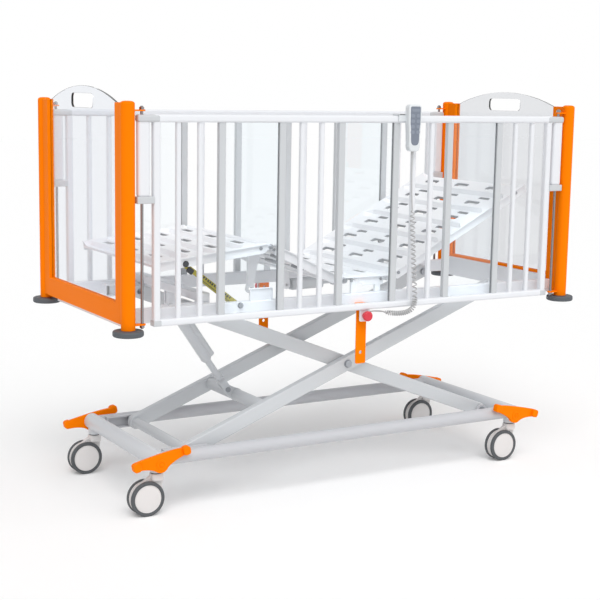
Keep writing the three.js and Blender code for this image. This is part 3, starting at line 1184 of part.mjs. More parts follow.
for (const [end, endName] of ENDS) {
  const frame = group(cot, 0, 0, 0);
  frame.rotation.z = end === HEAD ? 0 : Math.PI;
  place(frame, `${endName}_end_frame`, endFrame(), orangePaint);
  place(frame, `${endName}_panel`, endPanel(), clearAcrylic);
  for (const [side, sideName] of SIDES) {
    const postFoot = group(cot, end * POST_X, side * SIDE_Y, 0);
    place(postFoot, `bumper_${endName}_${sideName}`, bumper(), darkRubber);
    const rodAxis = group(cot, end * ROD_X, side * SIDE_Y, 0);
    place(rodAxis, `guide_rod_${endName}_${sideName}`, guideRod(), steel);
  }
}

const PANEL_BAYS = [['foot', -FLAT_BAR_PLACES[2], -FLAT_BAR_PLACES[1]],
  ['middle', -FLAT_BAR_PLACES[0], FLAT_BAR_PLACES[0]], ['head', FLAT_BAR_PLACES[1], FLAT_BAR_PLACES[2]]];
for (const [side, sideName] of SIDES) {
  const frame = group(cot, 0, 0, 0);
  frame.rotation.z = side === FRONT ? 0 : Math.PI;
  place(frame, `drop_side_${sideName}`, dropSide(), whitePaint);
  for (const [bay, from, to] of PANEL_BAYS) {
    const ends = side === FRONT ? [from, to] : [-to, -from];
    place(frame, `side_panel_${sideName}_${bay}`, sidePanel(...ends), clearAcrylic);
  }
  place(frame, `lock_plate_${sideName}`, lockPlate(), orangePaint);
  place(frame, `lock_plunger_${sideName}`, plunger(), redPlastic);
}

// Assembly: deck sections
place(group(cot, 0, 0, HINGE_Z), 'seat_section', seatSection(), whitePaint);
place(group(cot, BACK_HINGE_X, 0, HINGE_Z, -BACK_ANGLE), 'back_section', backSection(), whitePaint);
const thighFrame = group(cot, THIGH_HINGE_X, 0, HINGE_Z, THIGH_ANGLE);
const thighTurn = group(thighFrame, 0, 0, 0);
thighTurn.rotation.z = Math.PI;
place(thighTurn, 'thigh_section', thighSection(), whitePaint);
const calfFrame = group(thighFrame, -THIGH_L, 0, 0, -THIGH_ANGLE - CALF_DROP);
const calfTurn = group(calfFrame, 0, 0, 0);
calfTurn.rotation.z = Math.PI;
place(calfTurn, 'calf_section', calfSection(), whitePaint);

// Assembly: back actuator between the seat's ears and the back section's lever
const [leanX, leanZ] = [Math.cos(BACK_ANGLE), Math.sin(BACK_ANGLE)];
const leverX = BACK_HINGE_X + BACK_LEVER_ALONG * leanX + BACK_LEVER_DOWN * leanZ;
const leverZ = HINGE_Z + BACK_LEVER_ALONG * leanZ - BACK_LEVER_DOWN * leanX;
const backRun = [leverX - BACK_ACT_X, leverZ - BACK_ACT_Z];
const backFrame = group(cot, BACK_ACT_X, 0, BACK_ACT_Z, -Math.atan2(backRun[1], backRun[0]));
const backBody = actuatorBody(
  BACK_ACT_BODY_L, BACK_ACT_BODY_W, BACK_ACT_BORE_START, BACK_ACT_ROD_D, BACK_ACT_Y);
place(backFrame, 'back_actuator_body', backBody, armPaint);
const backRodStart = BACK_ACT_BODY_L - BACK_ACT_ROD_HIDDEN;
place(backFrame, 'back_actuator_rod',
  actuatorRod(backRodStart, Math.hypot(...backRun), BACK_ACT_ROD_D, BACK_ACT_Y), greyPaint);

// Assembly: calf ratchet strut from the near deck member to the calf section
cot.updateMatrixWorld(true);
const ratchetTop = calfTurn.localToWorld(
  new THREE.Vector3(RATCHET_ALONG_CALF, RATCHET_Y, -RATCHET_DROP));
const ratchetRun = [ratchetTop.x - RATCHET_X, ratchetTop.z - RATCHET_Z];
const ratchetLength = Math.hypot(...ratchetRun);
const ratchetFrame = group(cot, RATCHET_X, 0, RATCHET_Z, -Math.atan2(ratchetRun[1], ratchetRun[0]));
place(ratchetFrame, 'calf_ratchet_channel', ratchetChannel(), yellowZinc);
place(ratchetFrame, 'calf_ratchet_bar', ratchetBar(ratchetLength), yellowZinc);

// Assembly: hand control and cord
place(cot, 'handset', handset(), handsetPlastic);
const cord = curlyCord();
place(cot, 'handset_cord', cord.body, greyPaint);
console.log(`curly cord least gap to itself ${leastSelfGap(cord.line, CORD_D).toFixed(2)} mm`);

export default cot;
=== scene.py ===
"""Paediatric hospital cot: shells, finishes, small fittings and the curly cord round its frame, in metres."""
import math

import bpy
from mathutils import Matrix, Vector


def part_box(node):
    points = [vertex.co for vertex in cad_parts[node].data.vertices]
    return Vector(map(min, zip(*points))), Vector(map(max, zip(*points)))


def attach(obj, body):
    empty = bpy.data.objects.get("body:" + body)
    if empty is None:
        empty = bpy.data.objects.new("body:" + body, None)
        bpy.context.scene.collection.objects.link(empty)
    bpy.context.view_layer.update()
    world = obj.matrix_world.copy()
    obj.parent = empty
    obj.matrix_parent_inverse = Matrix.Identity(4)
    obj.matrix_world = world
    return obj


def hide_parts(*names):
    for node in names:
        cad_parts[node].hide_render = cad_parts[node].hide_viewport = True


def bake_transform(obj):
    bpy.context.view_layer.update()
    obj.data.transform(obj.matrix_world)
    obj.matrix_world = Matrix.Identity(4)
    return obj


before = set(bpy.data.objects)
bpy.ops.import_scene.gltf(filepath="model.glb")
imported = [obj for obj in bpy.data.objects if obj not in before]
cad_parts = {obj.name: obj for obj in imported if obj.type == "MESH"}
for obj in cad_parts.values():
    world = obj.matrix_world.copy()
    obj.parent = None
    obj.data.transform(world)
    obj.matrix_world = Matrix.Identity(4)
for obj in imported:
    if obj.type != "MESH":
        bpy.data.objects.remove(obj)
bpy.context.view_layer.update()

FOOT, HEAD = -1, 1
FRONT, REAR = -1, 1
BOTH = (-1, 1)
ENDS = ((FOOT, "foot"), (HEAD, "head"))
SIDES = ((FRONT, "front"), (REAR, "rear"))
AS_DRAWN, HALF_TURN = Matrix.Identity(4), Matrix.Rotation(math.pi, 4, "Z")
# The gap between neighbours, the play of a bearing, and how far a piece is let into its neighbour
CLEAR, PLAY, LET_IN = 0.0003, 0.0004, 0.001


def middle(node):
    low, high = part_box(node)
    return (low + high) / 2


# Places taken from the frame
PLATE_RISE = 0.018
POST_X, SIDE_Y, _ = middle("bumper_head_rear")
ROD_X = middle("guide_rod_head_rear").x
STEM_X = middle("base_end_tube_head").x
AXLE_Z = middle("castor_wheels_foot_front").z
POST_FOOT, POST_TOP = (corner.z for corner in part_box("head_end_frame"))
DECK_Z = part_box("lock_plate_front")[1].z - PLATE_RISE
SIDE_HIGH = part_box("drop_side_front")[1].z
SIDE_LOW, DECK_TOP, HINGE_Z = DECK_Z - 0.004, DECK_Z + 0.050, DECK_Z + 0.096
STEM_Y = SIDE_Y - 0.103
BASE_Z, LIFT_TOP_Z = AXLE_Z * 2 + 0.070, DECK_Z + 0.021
LIFT_CENTRE = Vector((0.028, 0, (BASE_Z + LIFT_TOP_Z) / 2))
ARM_HALF, ARM_END_R = 0.714, 0.027
LIFT_ANGLE = math.asin((LIFT_CENTRE.z - BASE_Z) / ARM_HALF)
LIFT_REACH = ARM_HALF * math.cos(LIFT_ANGLE)
SLIDE_X, LIFT_PIVOT_X = LIFT_CENTRE.x - LIFT_REACH, LIFT_CENTRE.x + LIFT_REACH


# Modelling helpers
def at(x=0, y=0, z=0):
    return Matrix.Translation((x, y, z))


def select_only(*pieces):
    bpy.ops.object.select_all(action="DESELECT")
    for piece in pieces:
        piece.select_set(True)
    bpy.context.view_layer.objects.active = pieces[0]


def edit(piece, action="SELECT"):
    select_only(piece)
    bpy.ops.object.mode_set(mode="EDIT")
    bpy.ops.mesh.select_mode(type="VERT")
    bpy.ops.mesh.select_all(action=action)


def leave_edit():
    bpy.ops.object.mode_set(mode="OBJECT")


def pick(piece, chosen):
    """Selects in edit mode the corners that the test chooses by place."""
    edit(piece, "DESELECT")
    leave_edit()
    for corner in piece.data.vertices:
        corner.select = bool(chosen(corner.co))
    bpy.ops.object.mode_set(mode="EDIT")


def close_seams(piece):
    edit(piece)
    bpy.ops.mesh.remove_doubles(threshold=1e-6)
    bpy.ops.mesh.normals_make_consistent(inside=False)
    leave_edit()


def apply_modifier(piece, kind, **settings):
    select_only(piece)
    modifier = piece.modifiers.new(kind.lower(), kind)
    for key, value in settings.items():
        setattr(modifier, key, value)
    bpy.ops.object.modifier_apply(modifier=modifier.name)


def soften(piece, edge, segments=3, angle=30):
    apply_modifier(piece, "BEVEL", width=edge, segments=segments, limit_method="ANGLE",
                   angle_limit=math.radians(angle), use_clamp_overlap=True)
    return piece


def move(piece, matrix):
    piece.data.transform(matrix)
    return piece


def settle(piece):
    select_only(piece)
    bpy.ops.object.transform_apply(location=True, rotation=True, scale=True)
    return piece


def block(low, high, edge, segments=3):
    """A box between two corners with rounded edges, or sharp ones where the edge is 0."""
    bpy.ops.mesh.primitive_cube_add(size=1)
    piece = bpy.context.object
    piece.location = [(p + q) / 2 for p, q in zip(low, high)]
    piece.scale = [abs(q - p) for p, q in zip(low, high)]
    settle(piece)
    return soften(piece, edge, segments) if edge else piece


def rod(start, end, radius, sides=40, edge=0.001):
    """A round bar between two points with its end edges broken."""
    run = Vector(end) - Vector(start)
    bpy.ops.mesh.primitive_cylinder_add(vertices=sides, radius=radius, depth=run.length,
                                        location=(Vector(start) + Vector(end)) / 2,
                                        rotation=run.to_track_quat("Z", "Y").to_euler())
    piece = settle(bpy.context.object)
    return soften(piece, edge, 2, 25) if edge else piece


def cross_rod(x, z, start, end, radius, sides=40, edge=0.001):
    return rod((x, start, z), (x, end, z), radius, sides, edge)


SPUN = {"X": Matrix.Rotation(math.pi / 2, 4, "Y"), "Y": Matrix.Rotation(-math.pi / 2, 4, "X"), "Z": AS_DRAWN}
ACROSS = {
    "X": Matrix(((0, 0, 1, 0), (1, 0, 0, 0), (0, 1, 0, 0), (0, 0, 0, 1))),
    "Y": Matrix(((1, 0, 0, 0), (0, 0, -1, 0), (0, 1, 0, 0), (0, 0, 0, 1))),
    "Z": AS_DRAWN,
}
UNIT = {"X": Vector((1, 0, 0)), "Y": Vector((0, 1, 0)), "Z": Vector((0, 0, 1))}


def turned(profile, axis, place=(0, 0, 0), sides=48, ring=False):
    """A half profile of (radius, place) points spun about an axis; a ring's profile closes on itself."""
    lines = [(i, i + 1) for i in range(len(profile) - 1)]
    if ring:
        lines.append((len(profile) - 1, 0))
    mesh = bpy.data.meshes.new("profile")
    mesh.from_pydata([(r, 0, h) for r, h in profile], lines, [])
    piece = bpy.data.objects.new("profile", mesh)
    bpy.context.collection.objects.link(piece)
    edit(piece)
    bpy.ops.mesh.spin(steps=sides, angle=2 * math.pi, center=(0, 0, 0), axis=(0, 0, 1))
    leave_edit()
    close_seams(piece)
    return move(piece, Matrix.Translation(place) @ SPUN[axis])


def facing(profile, side):
    return [(r, side * h) for r, h in profile]


def plate(outline, axis, low, high, edge, holes=(), steps=2):
    """A flat outline, drawn across an axis in the order of the other two, with thickness and round edges."""
    drawing = bpy.data.curves.new("outline", "CURVE")
    drawing.dimensions = "2D"
    drawing.fill_mode = "BOTH"
    for loop in (outline, *holes):
        line = drawing.splines.new("POLY")
        line.points.add(len(loop) - 1)
        for point, (u, v) in zip(line.points, loop):
            point.co = (u, v, 0, 1)
        line.use_cyclic_u = True
    drawing.extrude = abs(high - low) / 2 - edge
    drawing.bevel_depth = edge
    drawing.bevel_resolution = steps
    drawing.offset = -edge
    piece = bpy.data.objects.new("outline", drawing)
    bpy.context.collection.objects.link(piece)
    select_only(piece)
    bpy.ops.object.convert(target="MESH")
    piece = bpy.context.object
    close_seams(piece)
    return move(piece, Matrix.Translation(UNIT[axis] * (low + high) / 2) @ ACROSS[axis])


def arc(x, y, radius, start, end, steps):
    turns = [math.radians(start + (end - start) * i / steps) for i in range(steps + 1)]
    return [(x + radius * math.cos(t), y + radius * math.sin(t)) for t in turns]


def circle(x, y, radius, steps):
    return arc(x, y, radius, 0, 360, steps)[:-1]


def rounded(width, height, radius, x=0, y=0, steps=6):
    w, h = width / 2 - radius, height / 2 - radius
    corners = ((w, -h, -90), (w, h, 0), (-w, h, 90), (-w, -h, 180))
    return [p for dx, dy, t in corners for p in arc(x + dx, y + dy, radius, t, t + 90, steps)]


def link(x0, y0, r0, x1, y1, r1, steps=18):
    """The outline round two discs."""
    heading = math.degrees(math.atan2(y1 - y0, x1 - x0))
    lean = math.degrees(math.acos((r0 - r1) / math.hypot(x1 - x0, y1 - y0)))
    return (arc(x0, y0, r0, heading + lean, heading - lean + 360, steps)
            + arc(x1, y1, r1, heading - lean, heading + lean, steps))


def bow(start, pull, end, steps=10):
    """A curve that leaves its start and meets its end along lines through the pull point."""
    shares = [i / steps for i in range(steps + 1)]
    return [tuple((1 - t) ** 2 * p + 2 * t * (1 - t) * c + t * t * q
                  for p, c, q in zip(start, pull, end)) for t in shares]


def put_away(*pieces):
    for piece in pieces:
        bpy.data.objects.remove(piece)


def carve(piece, *tools):
    for tool in tools:
        apply_modifier(piece, "BOOLEAN", object=tool, operation="DIFFERENCE", solver="EXACT")
        put_away(tool)
    return piece


def join(*pieces):
    select_only(*pieces)
    if len(pieces) > 1:
        bpy.ops.object.join()
    return bpy.context.object


def copy_of(piece, matrix):
    twin = piece.copy()
    twin.data = piece.data.copy()
    bpy.context.collection.objects.link(twin)
    return move(twin, matrix)


SMOOTH_ANGLE = math.radians(38)


def fit(name, body, surface, *pieces, place=None, stands_for=None):
    """Joins the pieces into one shell, places and finishes it and lets it ride on its body."""
    shell = join(*pieces)
    if place is not None:
        move(shell, place)
    shell.name = name
    shell.data.name = name
    shell.data.materials.clear()
    shell.data.materials.append(surface)
    select_only(shell)
    bpy.ops.object.shade_smooth_by_angle(angle=SMOOTH_ANGLE)
    apply_modifier(shell, "WEIGHTED_NORMAL", keep_sharp=True)
    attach(shell, body)
    if stands_for:
        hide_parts(stands_for)


# Finishes
PEEL_DEPTH, COAT_ROUGHNESS = 0.0006, 0.15


def tone(red, green, blue):
    """A colour written as on a screen, in the shader's own scale."""
    return (*[((c / 255 + 0.055) / 1.055) ** 2.4 for c in (red, green, blue)], 1)


def dial(node, **values):
    """Sets a shader node's inputs; an underscore stands for the space in an input's name."""
    for name, value in values.items():
        node.inputs[name.replace("_", " ")].default_value = value


def wire(tree, *runs):
    """Links each run of (node, its output, node, its input)."""
    for start, outlet, end, inlet in runs:
        tree.links.new(start.outputs[outlet], end.inputs[inlet])


def new_nodes(tree, *kinds):
    return [tree.nodes.new(f"ShaderNode{kind}") for kind in kinds]


def new_material(name, slot=None):
    material = bpy.data.materials.new(name)
    material.use_nodes = True
    if slot:
        material["slot"] = slot
    return material, material.node_tree, material.node_tree.nodes["Principled BSDF"]


def coat_grain():
    """Fine orange peel and slight gloss changes of a powder coat or a moulded surface."""
    group = bpy.data.node_groups.new("coat_grain", "ShaderNodeTree")
    sockets = {"INPUT": ("Vector", "Grain", "Gloss", "Spread"), "OUTPUT": ("Roughness", "Height")}
    for way, names in sockets.items():
        for name in names:
            kind = "NodeSocketVector" if name == "Vector" else "NodeSocketFloat"
            group.interface.new_socket(name=name, in_out=way, socket_type=kind)
    given, result = group.nodes.new("NodeGroupInput"), group.nodes.new("NodeGroupOutput")
    fine, broad, centred, spread, total = new_nodes(group, "TexNoise", "TexNoise", "Math", "Math", "Math")
    dial(fine, Detail=2)
    dial(broad, Scale=9, Detail=4)
    centred.operation, spread.operation, total.operation = "SUBTRACT", "MULTIPLY", "ADD"
    centred.inputs[1].default_value = 0.5
    wire(group, (given, "Vector", fine, "Vector"), (given, "Vector", broad, "Vector"),
         (given, "Grain", fine, "Scale"), (broad, "Fac", centred, 0), (centred, 0, spread, 0),
         (given, "Spread", spread, 1), (spread, 0, total, 0), (given, "Gloss", total, 1),
         (total, 0, result, "Roughness"), (fine, "Fac", result, "Height"))
    return group


GRAIN = coat_grain()


def finish(name, slot, color, gloss, metallic=0, grain=900, bump=0.04, spread=0.12, coat=0, shine=0.5):
    """A painted, plated or moulded surface with fine grain."""
    material, tree, shader = new_material(name, slot)
    place, peel, relief = new_nodes(tree, "TexCoord", "Group", "Bump")
    peel.node_tree = GRAIN
    dial(shader, Base_Color=color, Metallic=metallic, Specular_IOR_Level=shine, Coat_Weight=coat,
         Coat_Roughness=COAT_ROUGHNESS)
    dial(peel, Grain=grain, Gloss=gloss, Spread=spread)
    dial(relief, Strength=bump, Distance=PEEL_DEPTH)
    wire(tree, (place, "Object", peel, "Vector"), (peel, "Roughness", shader, "Roughness"),
         (peel, "Height", relief, "Height"), (relief, "Normal", shader, "Normal"))
    return material


def clear_sheet(name, color):
    """Clear acrylic that lets light through to what stands behind it."""
    material, tree, shader = new_material(name, "clear_acrylic")
    path, clear, choice = new_nodes(tree, "LightPath", "BsdfTransparent", "MixShader")
    dial(shader, Base_Color=color, Roughness=0.02, IOR=1.49, Transmission_Weight=1)
    dial(clear, Color=color)
    wire(tree, (path, "Is Shadow Ray", choice, "Fac"), (shader, 0, choice, 1), (clear, 0, choice, 2),
         (choice, 0, tree.nodes["Material Output"], "Surface"))
    return material


ORANGE = finish("orange_powder_coat", "orange_paint", tone(255, 128, 0), 0.40, shine=0.03)
WHITE = finish("white_powder_coat", "white_paint", tone(230, 232, 236), 0.36)
# The deck sheets use the frame's white paint made lighter: painted light for the brightly lit slats.
SHEET_PAINTED_LIGHT = finish("deck_sheet_painted_light_white", "white_paint", tone(242, 244, 247), 0.40)
# The slot collars are white sheet metal given a mid grey: painted shade for the shadow inside the slots.
COLLAR_PAINTED_SHADE = finish("slot_collar_painted_shade", None, tone(166, 169, 173), 0.5)
GREY = finish("grey_powder_coat", "grey_paint", tone(209, 212, 216), 0.38)
TUBE_GREY = finish("side_tube_grey", "grey_paint", tone(194, 195, 199), 0.44)
CLAMP_GREY = finish("clamp_bar_grey", "grey_paint", tone(200, 203, 206), 0.42)
ARM_GREY = finish("arm_powder_coat", "arm_paint", tone(205, 208, 211), 0.42)
RUBBER = finish("bumper_rubber", "bumper_rubber", tone(84, 88, 93), 0.66, grain=1500, bump=0.1)
TYRE = finish("tyre_rubber", "castor_tyre", tone(80, 83, 86), 0.6, grain=1800, bump=0.1)
SEAL = finish("panel_seal", "bumper_rubber", tone(126, 129, 133), 0.6)
CASTOR = finish("castor_moulding", "castor_plastic", tone(222, 219, 218), 0.42, grain=1400)
# The chrome tone is darker than bright plating: painted reflection of dark surroundings.
CHROME = finish("chrome_plate", "chrome_rod", tone(150, 146, 146), 0.16, metallic=1, bump=0.01, spread=0.06)
ZINC = finish("bolt_zinc", "chrome_rod", tone(170, 173, 178), 0.34, metallic=1, bump=0.03)
YELLOW_ZINC = finish("yellow_zinc", "yellow_zinc", tone(184, 174, 86), 0.40, metallic=0.7, bump=0.06)
RED = finish("red_moulding", "red_plastic", tone(214, 48, 66), 0.34, coat=0.15)
CASE = finish("handset_case", "handset_plastic", tone(222, 226, 229), 0.45, grain=2600, bump=0.08)
KEYPAD = finish("keypad_film", None, tone(126, 133, 146), 0.42, grain=2600, shine=0.25)
KEY = finish("key_film", None, tone(139, 146, 159), 0.42, grain=2600, shine=0.25)
CORD = finish("cord_jacket", "cord_plastic", tone(190, 190, 191), 0.5, grain=2000, shine=0.3)
# Dark grey for dark fittings, also used for the rack's notch marks, which are painted shade.
DARK = finish("dark_fitting_and_painted_shade", "bumper_rubber", tone(70, 73, 77), 0.5)
ACRYLIC = clear_sheet("clear_acrylic", (0.955, 0.98, 0.995, 1))
# The end sheets are the side sheets' clear acrylic tinted darker, the head sheet darker than the foot sheet:
# painted shade.
END_ACRYLIC_SHADED = {"foot": clear_sheet("foot_panel_acrylic_painted_shade", (0.85, 0.872, 0.912, 1)),
               "head": clear_sheet("head_panel_acrylic_painted_shade", (0.775, 0.785, 0.805, 1))}


# Small fittings
def hex_nut(place, axis, width, height, washer=0.0015):
    """A hexagon nut or head with chamfered corners on its washer, from its seat outwards."""
    high = math.copysign(washer, height)
    nut = plate(circle(0, 0, width / 2 / math.cos(math.pi / 6), 6), axis, 0, height, 0.0008)
    ring = turned([(0, 0), (width * 0.62, 0), (width * 0.62, high), (0, high)], axis)
    return move(join(nut, ring), Matrix.Translation(place))


def cap_head(place, axis, radius, height):
    """A low domed bolt cap from its seat outwards."""
    dome = [(radius * math.cos(math.radians(t)), height * (0.35 + 0.65 * math.sin(math.radians(t))))
            for t in range(0, 91, 15)]
    return turned([(0, 0), (radius, 0), *dome], axis, place, sides=28)


# Base: end tubes with castor collars, coped side tubes with slide channel and pivot lug
END_TUBE_R, END_TUBE_WALL, END_TUBE_REACH, SIDE_TUBE_R = 0.030, 0.004, STEM_Y + 0.028, 0.025
COLLAR_R, COLLAR_FOOT, STEM_R = 0.023, BASE_Z - 0.044, 0.014
CHANNEL_MOUTH, CHANNEL_BACK, CHANNEL_WALL = SIDE_Y - 0.144, SIDE_Y - 0.124, 0.005
CHANNEL_FAR, CHANNEL_NEAR = SLIDE_X - 0.108, SLIDE_X + 0.066
ROLLER_R = 0.018
TRACK_HALF = ROLLER_R + PLAY
ARM_FACE, ARM_T, LANE = SIDE_Y - 0.148, 0.030, 0.004
PIVOT_LUG_R, PIVOT_LUG_T, PIVOT_R = 0.024, 0.008, 0.010


def base_end_tube():
    inner, lip = END_TUBE_R - END_TUBE_WALL, 0.001
    reach, outer = END_TUBE_REACH, END_TUBE_R
    wall = [(inner, -reach), (outer - lip, -reach), (outer, -reach + lip),
            (outer, reach - lip), (outer - lip, reach), (inner, reach)]
    tube = turned(wall, "Y", (0, 0, BASE_Z), 64, ring=True)
    bore, high = STEM_R + PLAY, BASE_Z - END_TUBE_R * 0.7
    collar = [(bore, COLLAR_FOOT), (COLLAR_R - lip, COLLAR_FOOT), (COLLAR_R, COLLAR_FOOT + lip),
              (COLLAR_R, high), (bore, high)]
    return join(tube, *[turned(collar, "Z", (0, side * STEM_Y, 0), 48, ring=True) for side in BOTH])


def slide_track(side, z, ease=0.0):
    half = TRACK_HALF + ease
    return block((CHANNEL_FAR + CHANNEL_WALL - ease, side * (CHANNEL_MOUTH - 0.005), z - half),
                 (CHANNEL_NEAR + 0.02, side * (CHANNEL_BACK + ease), z + half), 0)


def slide_channel(side, z):
    half = TRACK_HALF + CHANNEL_WALL
    shell = block((CHANNEL_FAR, side * CHANNEL_MOUTH, z - half),
                  (CHANNEL_NEAR, side * (CHANNEL_BACK + CHANNEL_WALL), z + half), 0.0015)
    return carve(shell, slide_track(side, z))


def pivot_lug(side, face, z, root_z):
    return plate(link(LIFT_PIVOT_X, z, PIVOT_LUG_R, LIFT_PIVOT_X, root_z, PIVOT_LUG_R), "Y",
                 side * face, side * (face + PIVOT_LUG_T), 0.0012)


def base_side_tube(side):
    y, lug_in = side * STEM_Y, ARM_FACE - ARM_T
    tube = rod((-STEM_X, y, BASE_Z), (STEM_X, y, BASE_Z), SIDE_TUBE_R, 56, 0)
    copes = [cross_rod(end * STEM_X, BASE_Z, y - 0.06, y + 0.06, END_TUBE_R + CLEAR, 64, 0) for end in BOTH]
    carve(tube, *copes, slide_track(side, BASE_Z, CHANNEL_WALL / 4))
    lug = pivot_lug(side, lug_in, BASE_Z, BASE_Z - 0.006)
    foot = block((LIFT_PIVOT_X - PIVOT_LUG_R, side * lug_in, BASE_Z - PIVOT_LUG_R),
                 (LIFT_PIVOT_X + PIVOT_LUG_R, y, BASE_Z - 0.0155), 0.002)
    pin = cross_rod(LIFT_PIVOT_X, BASE_Z, side * (lug_in + LET_IN), side * (lug_in - ARM_T - LANE), PIVOT_R)
    return join(tube, slide_channel(side, BASE_Z), lug, foot, pin)


def build_base():
    for end, name in ENDS:
        fit(f"base_end_tube_shell_{name}", "base", GREY, base_end_tube(), place=at(end * STEM_X),
            stands_for=f"base_end_tube_{name}")
    seat = ARM_FACE - ARM_T + PIVOT_LUG_T
    for side, name in SIDES:
        fit(f"base_side_tube_shell_{name}", "base", TUBE_GREY, base_side_tube(side),
            stands_for=f"base_side_tube_{name}")
        fit(f"base_pivot_bolt_{name}", "base", ZINC,
            hex_nut((LIFT_PIVOT_X, side * seat, BASE_Z), "Y", 0.024, side * 0.008))


# Castors: a swivelling neck and hood between twin wheels
TRAIL, WHEEL_R, WHEEL_IN, WHEEL_OUT = 0.040, AXLE_Z, 0.007, 0.025
NECK_TOP, RING_T = COLLAR_FOOT - CLEAR, 0.0032


def castor_neck():
    stem = rod((0, 0, NECK_TOP - 0.010), (0, 0, BASE_Z - 0.027), STEM_R)
    neck = plate(rounded(0.046, 0.037, 0.011), "Z", NECK_TOP - 0.030, NECK_TOP - RING_T, 0.003)
    blade = WHEEL_IN - PLAY
    hood = plate(link(-TRAIL, AXLE_Z, 0.0555, 0.001, NECK_TOP - 0.020, 0.0225, 32), "Y", -blade, blade, 0.002)
    shoulder = plate(link(-0.012, NECK_TOP - 0.022, 0.010, 0.012, NECK_TOP - 0.020, 0.010), "Y",
                     -0.017, 0.017, 0.004)
    return join(stem, neck, hood, shoulder)


def castor_ring():
    low, high, radius, lip = NECK_TOP - RING_T, NECK_TOP, 0.0215, 0.0008
    return turned([(STEM_R, low), (radius - 0.001, low), (radius, low + lip), (radius, high - lip),
                   (radius - 0.001, high), (STEM_R, high)], "Z", ring=True)


def castor_tyre(side):
    """One grey tyre with rounded shoulders."""
    inner, low, high, shoulder = WHEEL_R - 0.0125, 0.0115, WHEEL_OUT - 0.0005, 0.004
    outer = (arc(WHEEL_R - shoulder, low + shoulder, shoulder, -90, 0, 6)
             + [(WHEEL_R, (low + high) / 2)]
             + arc(WHEEL_R - shoulder, high - shoulder, shoulder, 0, 90, 6))
    profile = [(inner, low), *outer, (inner + 0.002, high), (inner, high - 0.002)]
    return turned(facing(profile, side), "Y", (-TRAIL, 0, AXLE_Z), 64, ring=True)


def castor_cap(side):
    """The domed cover of one wheel with its rim bead, and the pale rim that runs beside the hood."""
    face, rim, root = WHEEL_OUT - 0.0012, WHEEL_R - 0.0127, 0.0118
    cover = [(0, face + 0.0021), (0.016, face + 0.0018), (0.032, face + 0.0009), (rim - 0.006, face - 0.0004),
             (rim - 0.0048, face - 0.0014), (rim - 0.0034, face - 0.0014), (rim - 0.0022, face - 0.0002),
             (rim - 0.0006, face - 0.0008), (rim, face - 0.002), (rim, root), (0, root)]
    hole, low, wide = 0.0066, WHEEL_IN + CLEAR, WHEEL_R - 0.0045
    inner = [(hole, low), (wide - 0.001, low), (wide, low + 0.001), (wide, 0.0114), (hole, 0.0114)]
    place = (-TRAIL, 0, AXLE_Z)
    return join(turned(facing(cover, side), "Y", place, 64),
                turned(facing(inner, side), "Y", place, 64, ring=True))


def build_castors():
    axle = cross_rod(-TRAIL, AXLE_Z, -WHEEL_IN - LET_IN, WHEEL_IN + LET_IN, 0.006, 24, 0.0005)
    neck, ring = castor_neck(), castor_ring()
    tyres = join(*[castor_tyre(side) for side in BOTH])
    caps = join(*[castor_cap(side) for side in BOTH], axle)
    for end, end_name in ENDS:
        for side, side_name in SIDES:
            where = f"{end_name}_{side_name}"
            castor, wheels, stand = f"castor_{where}", f"wheels_{where}", at(end * STEM_X, side * STEM_Y)
            fit(f"castor_neck_{where}", castor, CASTOR, copy_of(neck, stand),
                stands_for=f"castor_housing_{where}")
            fit(f"castor_ring_{where}", castor, TYRE, copy_of(ring, stand))
            fit(f"castor_tyres_{where}", wheels, TYRE, copy_of(tyres, stand),
                stands_for=f"castor_wheels_{where}")
            fit(f"castor_caps_{where}", wheels, CASTOR, copy_of(caps, stand))
    put_away(neck, ring, tyres, caps)


# Brake treadles: two rocker pedals on a hexagon bar
TREADLE_Z, TREADLE_TILT = BASE_Z - 0.009, math.radians(-12)
TREADLE_FACE, TREADLE_T = END_TUBE_REACH + CLEAR, 0.015


def treadle():
    hub, outer, inner, low_edge, pad = 0.030, 0.090, 0.101, 0.005, 0.031
    top = low_edge + pad
    outline = (bow((-outer, low_edge), (-outer / 2, 0), (-hub * 0.81, -hub * 0.59))
               + arc(0, 0, hub, 216, 324, 12)
               + bow((hub * 0.81, -hub * 0.59), (inner / 2, -0.001), (inner, low_edge))
               + bow((inner, top - 0.006), (inner / 3, top + 0.004), (-outer, top), 16))
    boss = [(0.019, 0), (0.019, 0.0014), (0.0175, 0.0026), (0.011, 0.0026), (0.010, 0.0012), (0, 0.0012),
            (0, 0)]
    pieces = [cross_rod(0, 0, -TREADLE_FACE - LET_IN, TREADLE_FACE + LET_IN, 0.0085, 6, 0.0005)]
    for side in BOTH:
        low, high = side * TREADLE_FACE, side * (TREADLE_FACE + TREADLE_T)
        pieces.append(plate(outline, "Y", low, high, 0.0025))
        pieces.append(turned(facing(boss, side), "Y", (0, high - side * 0.0004, 0)))
        for x in (-outer, inner):
            pieces.append(plate(rounded(0.028, pad, 0.010, x, low_edge + pad / 2), "Y",
                                low + side * 0.0008, high + side * 0.013, 0.004, steps=3))
    return join(*pieces)


def build_treadles():
    pedals, seat = treadle(), TREADLE_FACE + TREADLE_T + 0.0006
    for end, name in ENDS:
        turn = HALF_TURN if end == HEAD else AS_DRAWN
        stand = at(end * STEM_X, 0, TREADLE_Z) @ turn @ Matrix.Rotation(TREADLE_TILT, 4, "Y")
        fit(f"brake_pedals_{name}", f"brake_{name}", ORANGE, copy_of(pedals, stand),
            stands_for=f"brake_treadle_{name}")
        caps = [cap_head((0, side * seat, 0), "Y", 0.0065, side * 0.0035) for side in BOTH]
        fit(f"pedal_caps_{name}", f"brake_{name}", ORANGE, *caps, place=stand)
    put_away(pedals)


